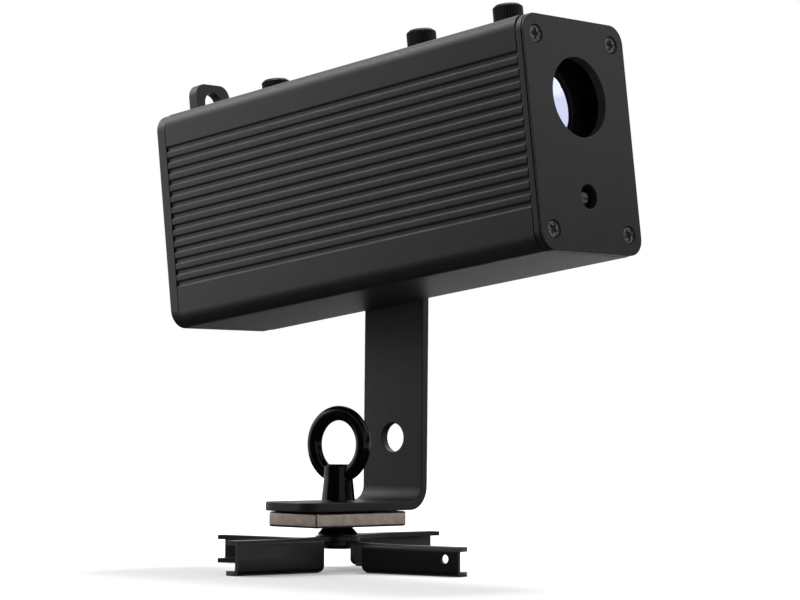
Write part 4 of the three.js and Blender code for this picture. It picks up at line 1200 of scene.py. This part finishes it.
@dataclass
class Studio:
    """Pale floor, white surroundings, soft lamps and the camera, in metres."""

    camera_place: tuple[float, float, float] = (0.648276, -0.693932, 0.05249)
    yaw: float = 42.765
    pitch: float = 2.297
    roll: float = 0.544
    lens: float = 128.105
    floor_half: float = 4.0
    floor_colour: str = "#ebebeb"
    floor_near: tuple[float, float] = (0.15, 0.13)
    floor_far: tuple[float, float] = (0.9, 0.56)
    ambient: float = 0.6
    lamps: tuple[Softbox, ...] = (
        Softbox("left_box", (-1.35, -0.75, 0.55), 1.0, 1.0, 4.0),
        Softbox("left_high_box", (-1.0, -0.25, 1.15), 0.8, 0.8, 5.0),
        Softbox("left_strip", (-0.75, -0.3, 0.75), 0.12, 0.6, 2.4),
        Softbox("top_box", (-0.15, 0.5, 1.15), 0.4, 0.4, 11.5),
    )
    # Painted dark reflections: emitting sheets that only glossy rays see, which darken the coats' reflections at
    # their lower edges, sides and front.
    cards: tuple[Card, ...] = (
        Card("floor_card", (-0.05, -0.085, 0.0005), 0.6, 0.67, 0.0, 0.0, "#262626"),
        Card("left_card", (0.03, -0.32, 0.2), 0.68, 0.4, 90.0, 0.0, "#222222"),
        Card("right_card", (0.3, 0.26, 0.13), 0.7, 0.12, 90.0, -42.0, "#3c3c3c"),
    )

    def seen_directly(self, tree: bpy.types.NodeTree) -> Socket:
        """1 for rays from the camera, and for those that metal or glass throw on."""
        path = add_node(tree, "ShaderNodeLightPath")
        thrown = add_node(tree, "ShaderNodeMath", {"operation": "MAXIMUM"}, {
            0: path.outputs["Is Glossy Ray"], 1: path.outputs["Is Transmission Ray"]})
        either = add_node(tree, "ShaderNodeMath", {"operation": "MAXIMUM"}, {
            0: path.outputs["Is Camera Ray"], 1: thrown.outputs["Value"]})
        return either.outputs["Value"]

    def floor(self) -> None:
        """A plain pale floor that the camera sees white, with the object's soft shadow on it."""
        wide = 2 * self.floor_half
        _, tree = studio_sheet("floor", wide, wide, Matrix.Identity(4))
        plain = add_node(tree, "ShaderNodeBsdfDiffuse", {"Color": linear(self.floor_colour)})
        place = add_node(tree, "ShaderNodeTexCoord").outputs["Object"]
        away = add_node(tree, "ShaderNodeVectorMath", {"operation": "LENGTH"}, {0: place})
        near, far = self.floor_near, self.floor_far
        level = add_node(tree, "ShaderNodeMapRange", {"From Min": near[0], "From Max": far[0],
                         "To Min": near[1], "To Max": far[1]}, {"Value": away.outputs["Value"]})
        glow = add_node(tree, "ShaderNodeEmission", links={"Strength": level.outputs["Result"]})
        white = add_node(tree, "ShaderNodeAddShader", links={0: plain.outputs["BSDF"], 1: glow.outputs["Emission"]})
        mix = add_node(tree, "ShaderNodeMixShader", links={
            0: self.seen_directly(tree), 1: plain.outputs["BSDF"], 2: white.outputs["Shader"]})
        add_node(tree, "ShaderNodeOutputMaterial", links={"Surface": mix.outputs["Shader"]})

    def surroundings(self) -> None:
        """White where it is seen, and a plain soft level where it lights."""
        world = bpy.data.worlds.new("studio")
        world.use_nodes = True
        tree = world.node_tree
        tree.nodes.clear()
        level = add_node(tree, "ShaderNodeBackground", {"Strength": self.ambient})
        white = add_node(tree, "ShaderNodeBackground", {"Color": (1.0, 1.0, 1.0, 1.0), "Strength": 1.0})
        mix = add_node(tree, "ShaderNodeMixShader", links={
            0: self.seen_directly(tree), 1: level.outputs["Background"], 2: white.outputs["Background"]})
        add_node(tree, "ShaderNodeOutputWorld", links={"Surface": mix.outputs["Shader"]})
        level.inputs["Color"].default_value = (1.0, 1.0, 1.0, 1.0)
        bpy.context.scene.world = world

    def camera(self) -> None:
        """The camera at the photograph's place and angle."""
        yaw, pitch, roll = (math.radians(a) for a in (self.yaw, self.pitch, self.roll))
        ahead = Vector((-math.sin(yaw) * math.cos(pitch), math.cos(yaw) * math.cos(pitch), math.sin(pitch)))
        level = Vector((math.cos(yaw), math.sin(yaw), 0.0))
        above = level.cross(ahead)
        right = math.cos(roll) * level + math.sin(roll) * above
        up = math.cos(roll) * above - math.sin(roll) * level
        data = bpy.data.cameras.new("camera")
        data.lens, data.sensor_width, data.clip_start = self.lens, 36.0, 0.01
        stand = bpy.data.objects.new("camera", data)
        turn = Matrix((right, up, -ahead)).transposed()
        stand.matrix_world = Matrix.Translation(self.camera_place) @ turn.to_4x4()
        bpy.context.scene.collection.objects.link(stand)
        bpy.context.scene.camera = stand

    def build(self) -> None:
        """Makes the studio."""
        self.floor()
        self.surroundings()
        self.camera()
        for thing in self.lamps + self.cards:
            thing.build()
        bpy.context.scene.view_settings.view_transform = "Standard"


def main() -> None:
    """Builds the studio and every sub-assembly of the projector, in order."""
    logging.basicConfig(level=logging.INFO, format="%(message)s")
    head = Head()
    parts = (Studio(), Housing(head), EndScrews(head), ThumbScrews(head), Optics(head), Sensor(head),
             RearControls(head), TiltMount(head), StudStack(), ScissorClip(), Interior())
    for part in parts:
        log.info("%s", type(part).__name__)
        part.build()


if __name__ == "__main__":
    main()
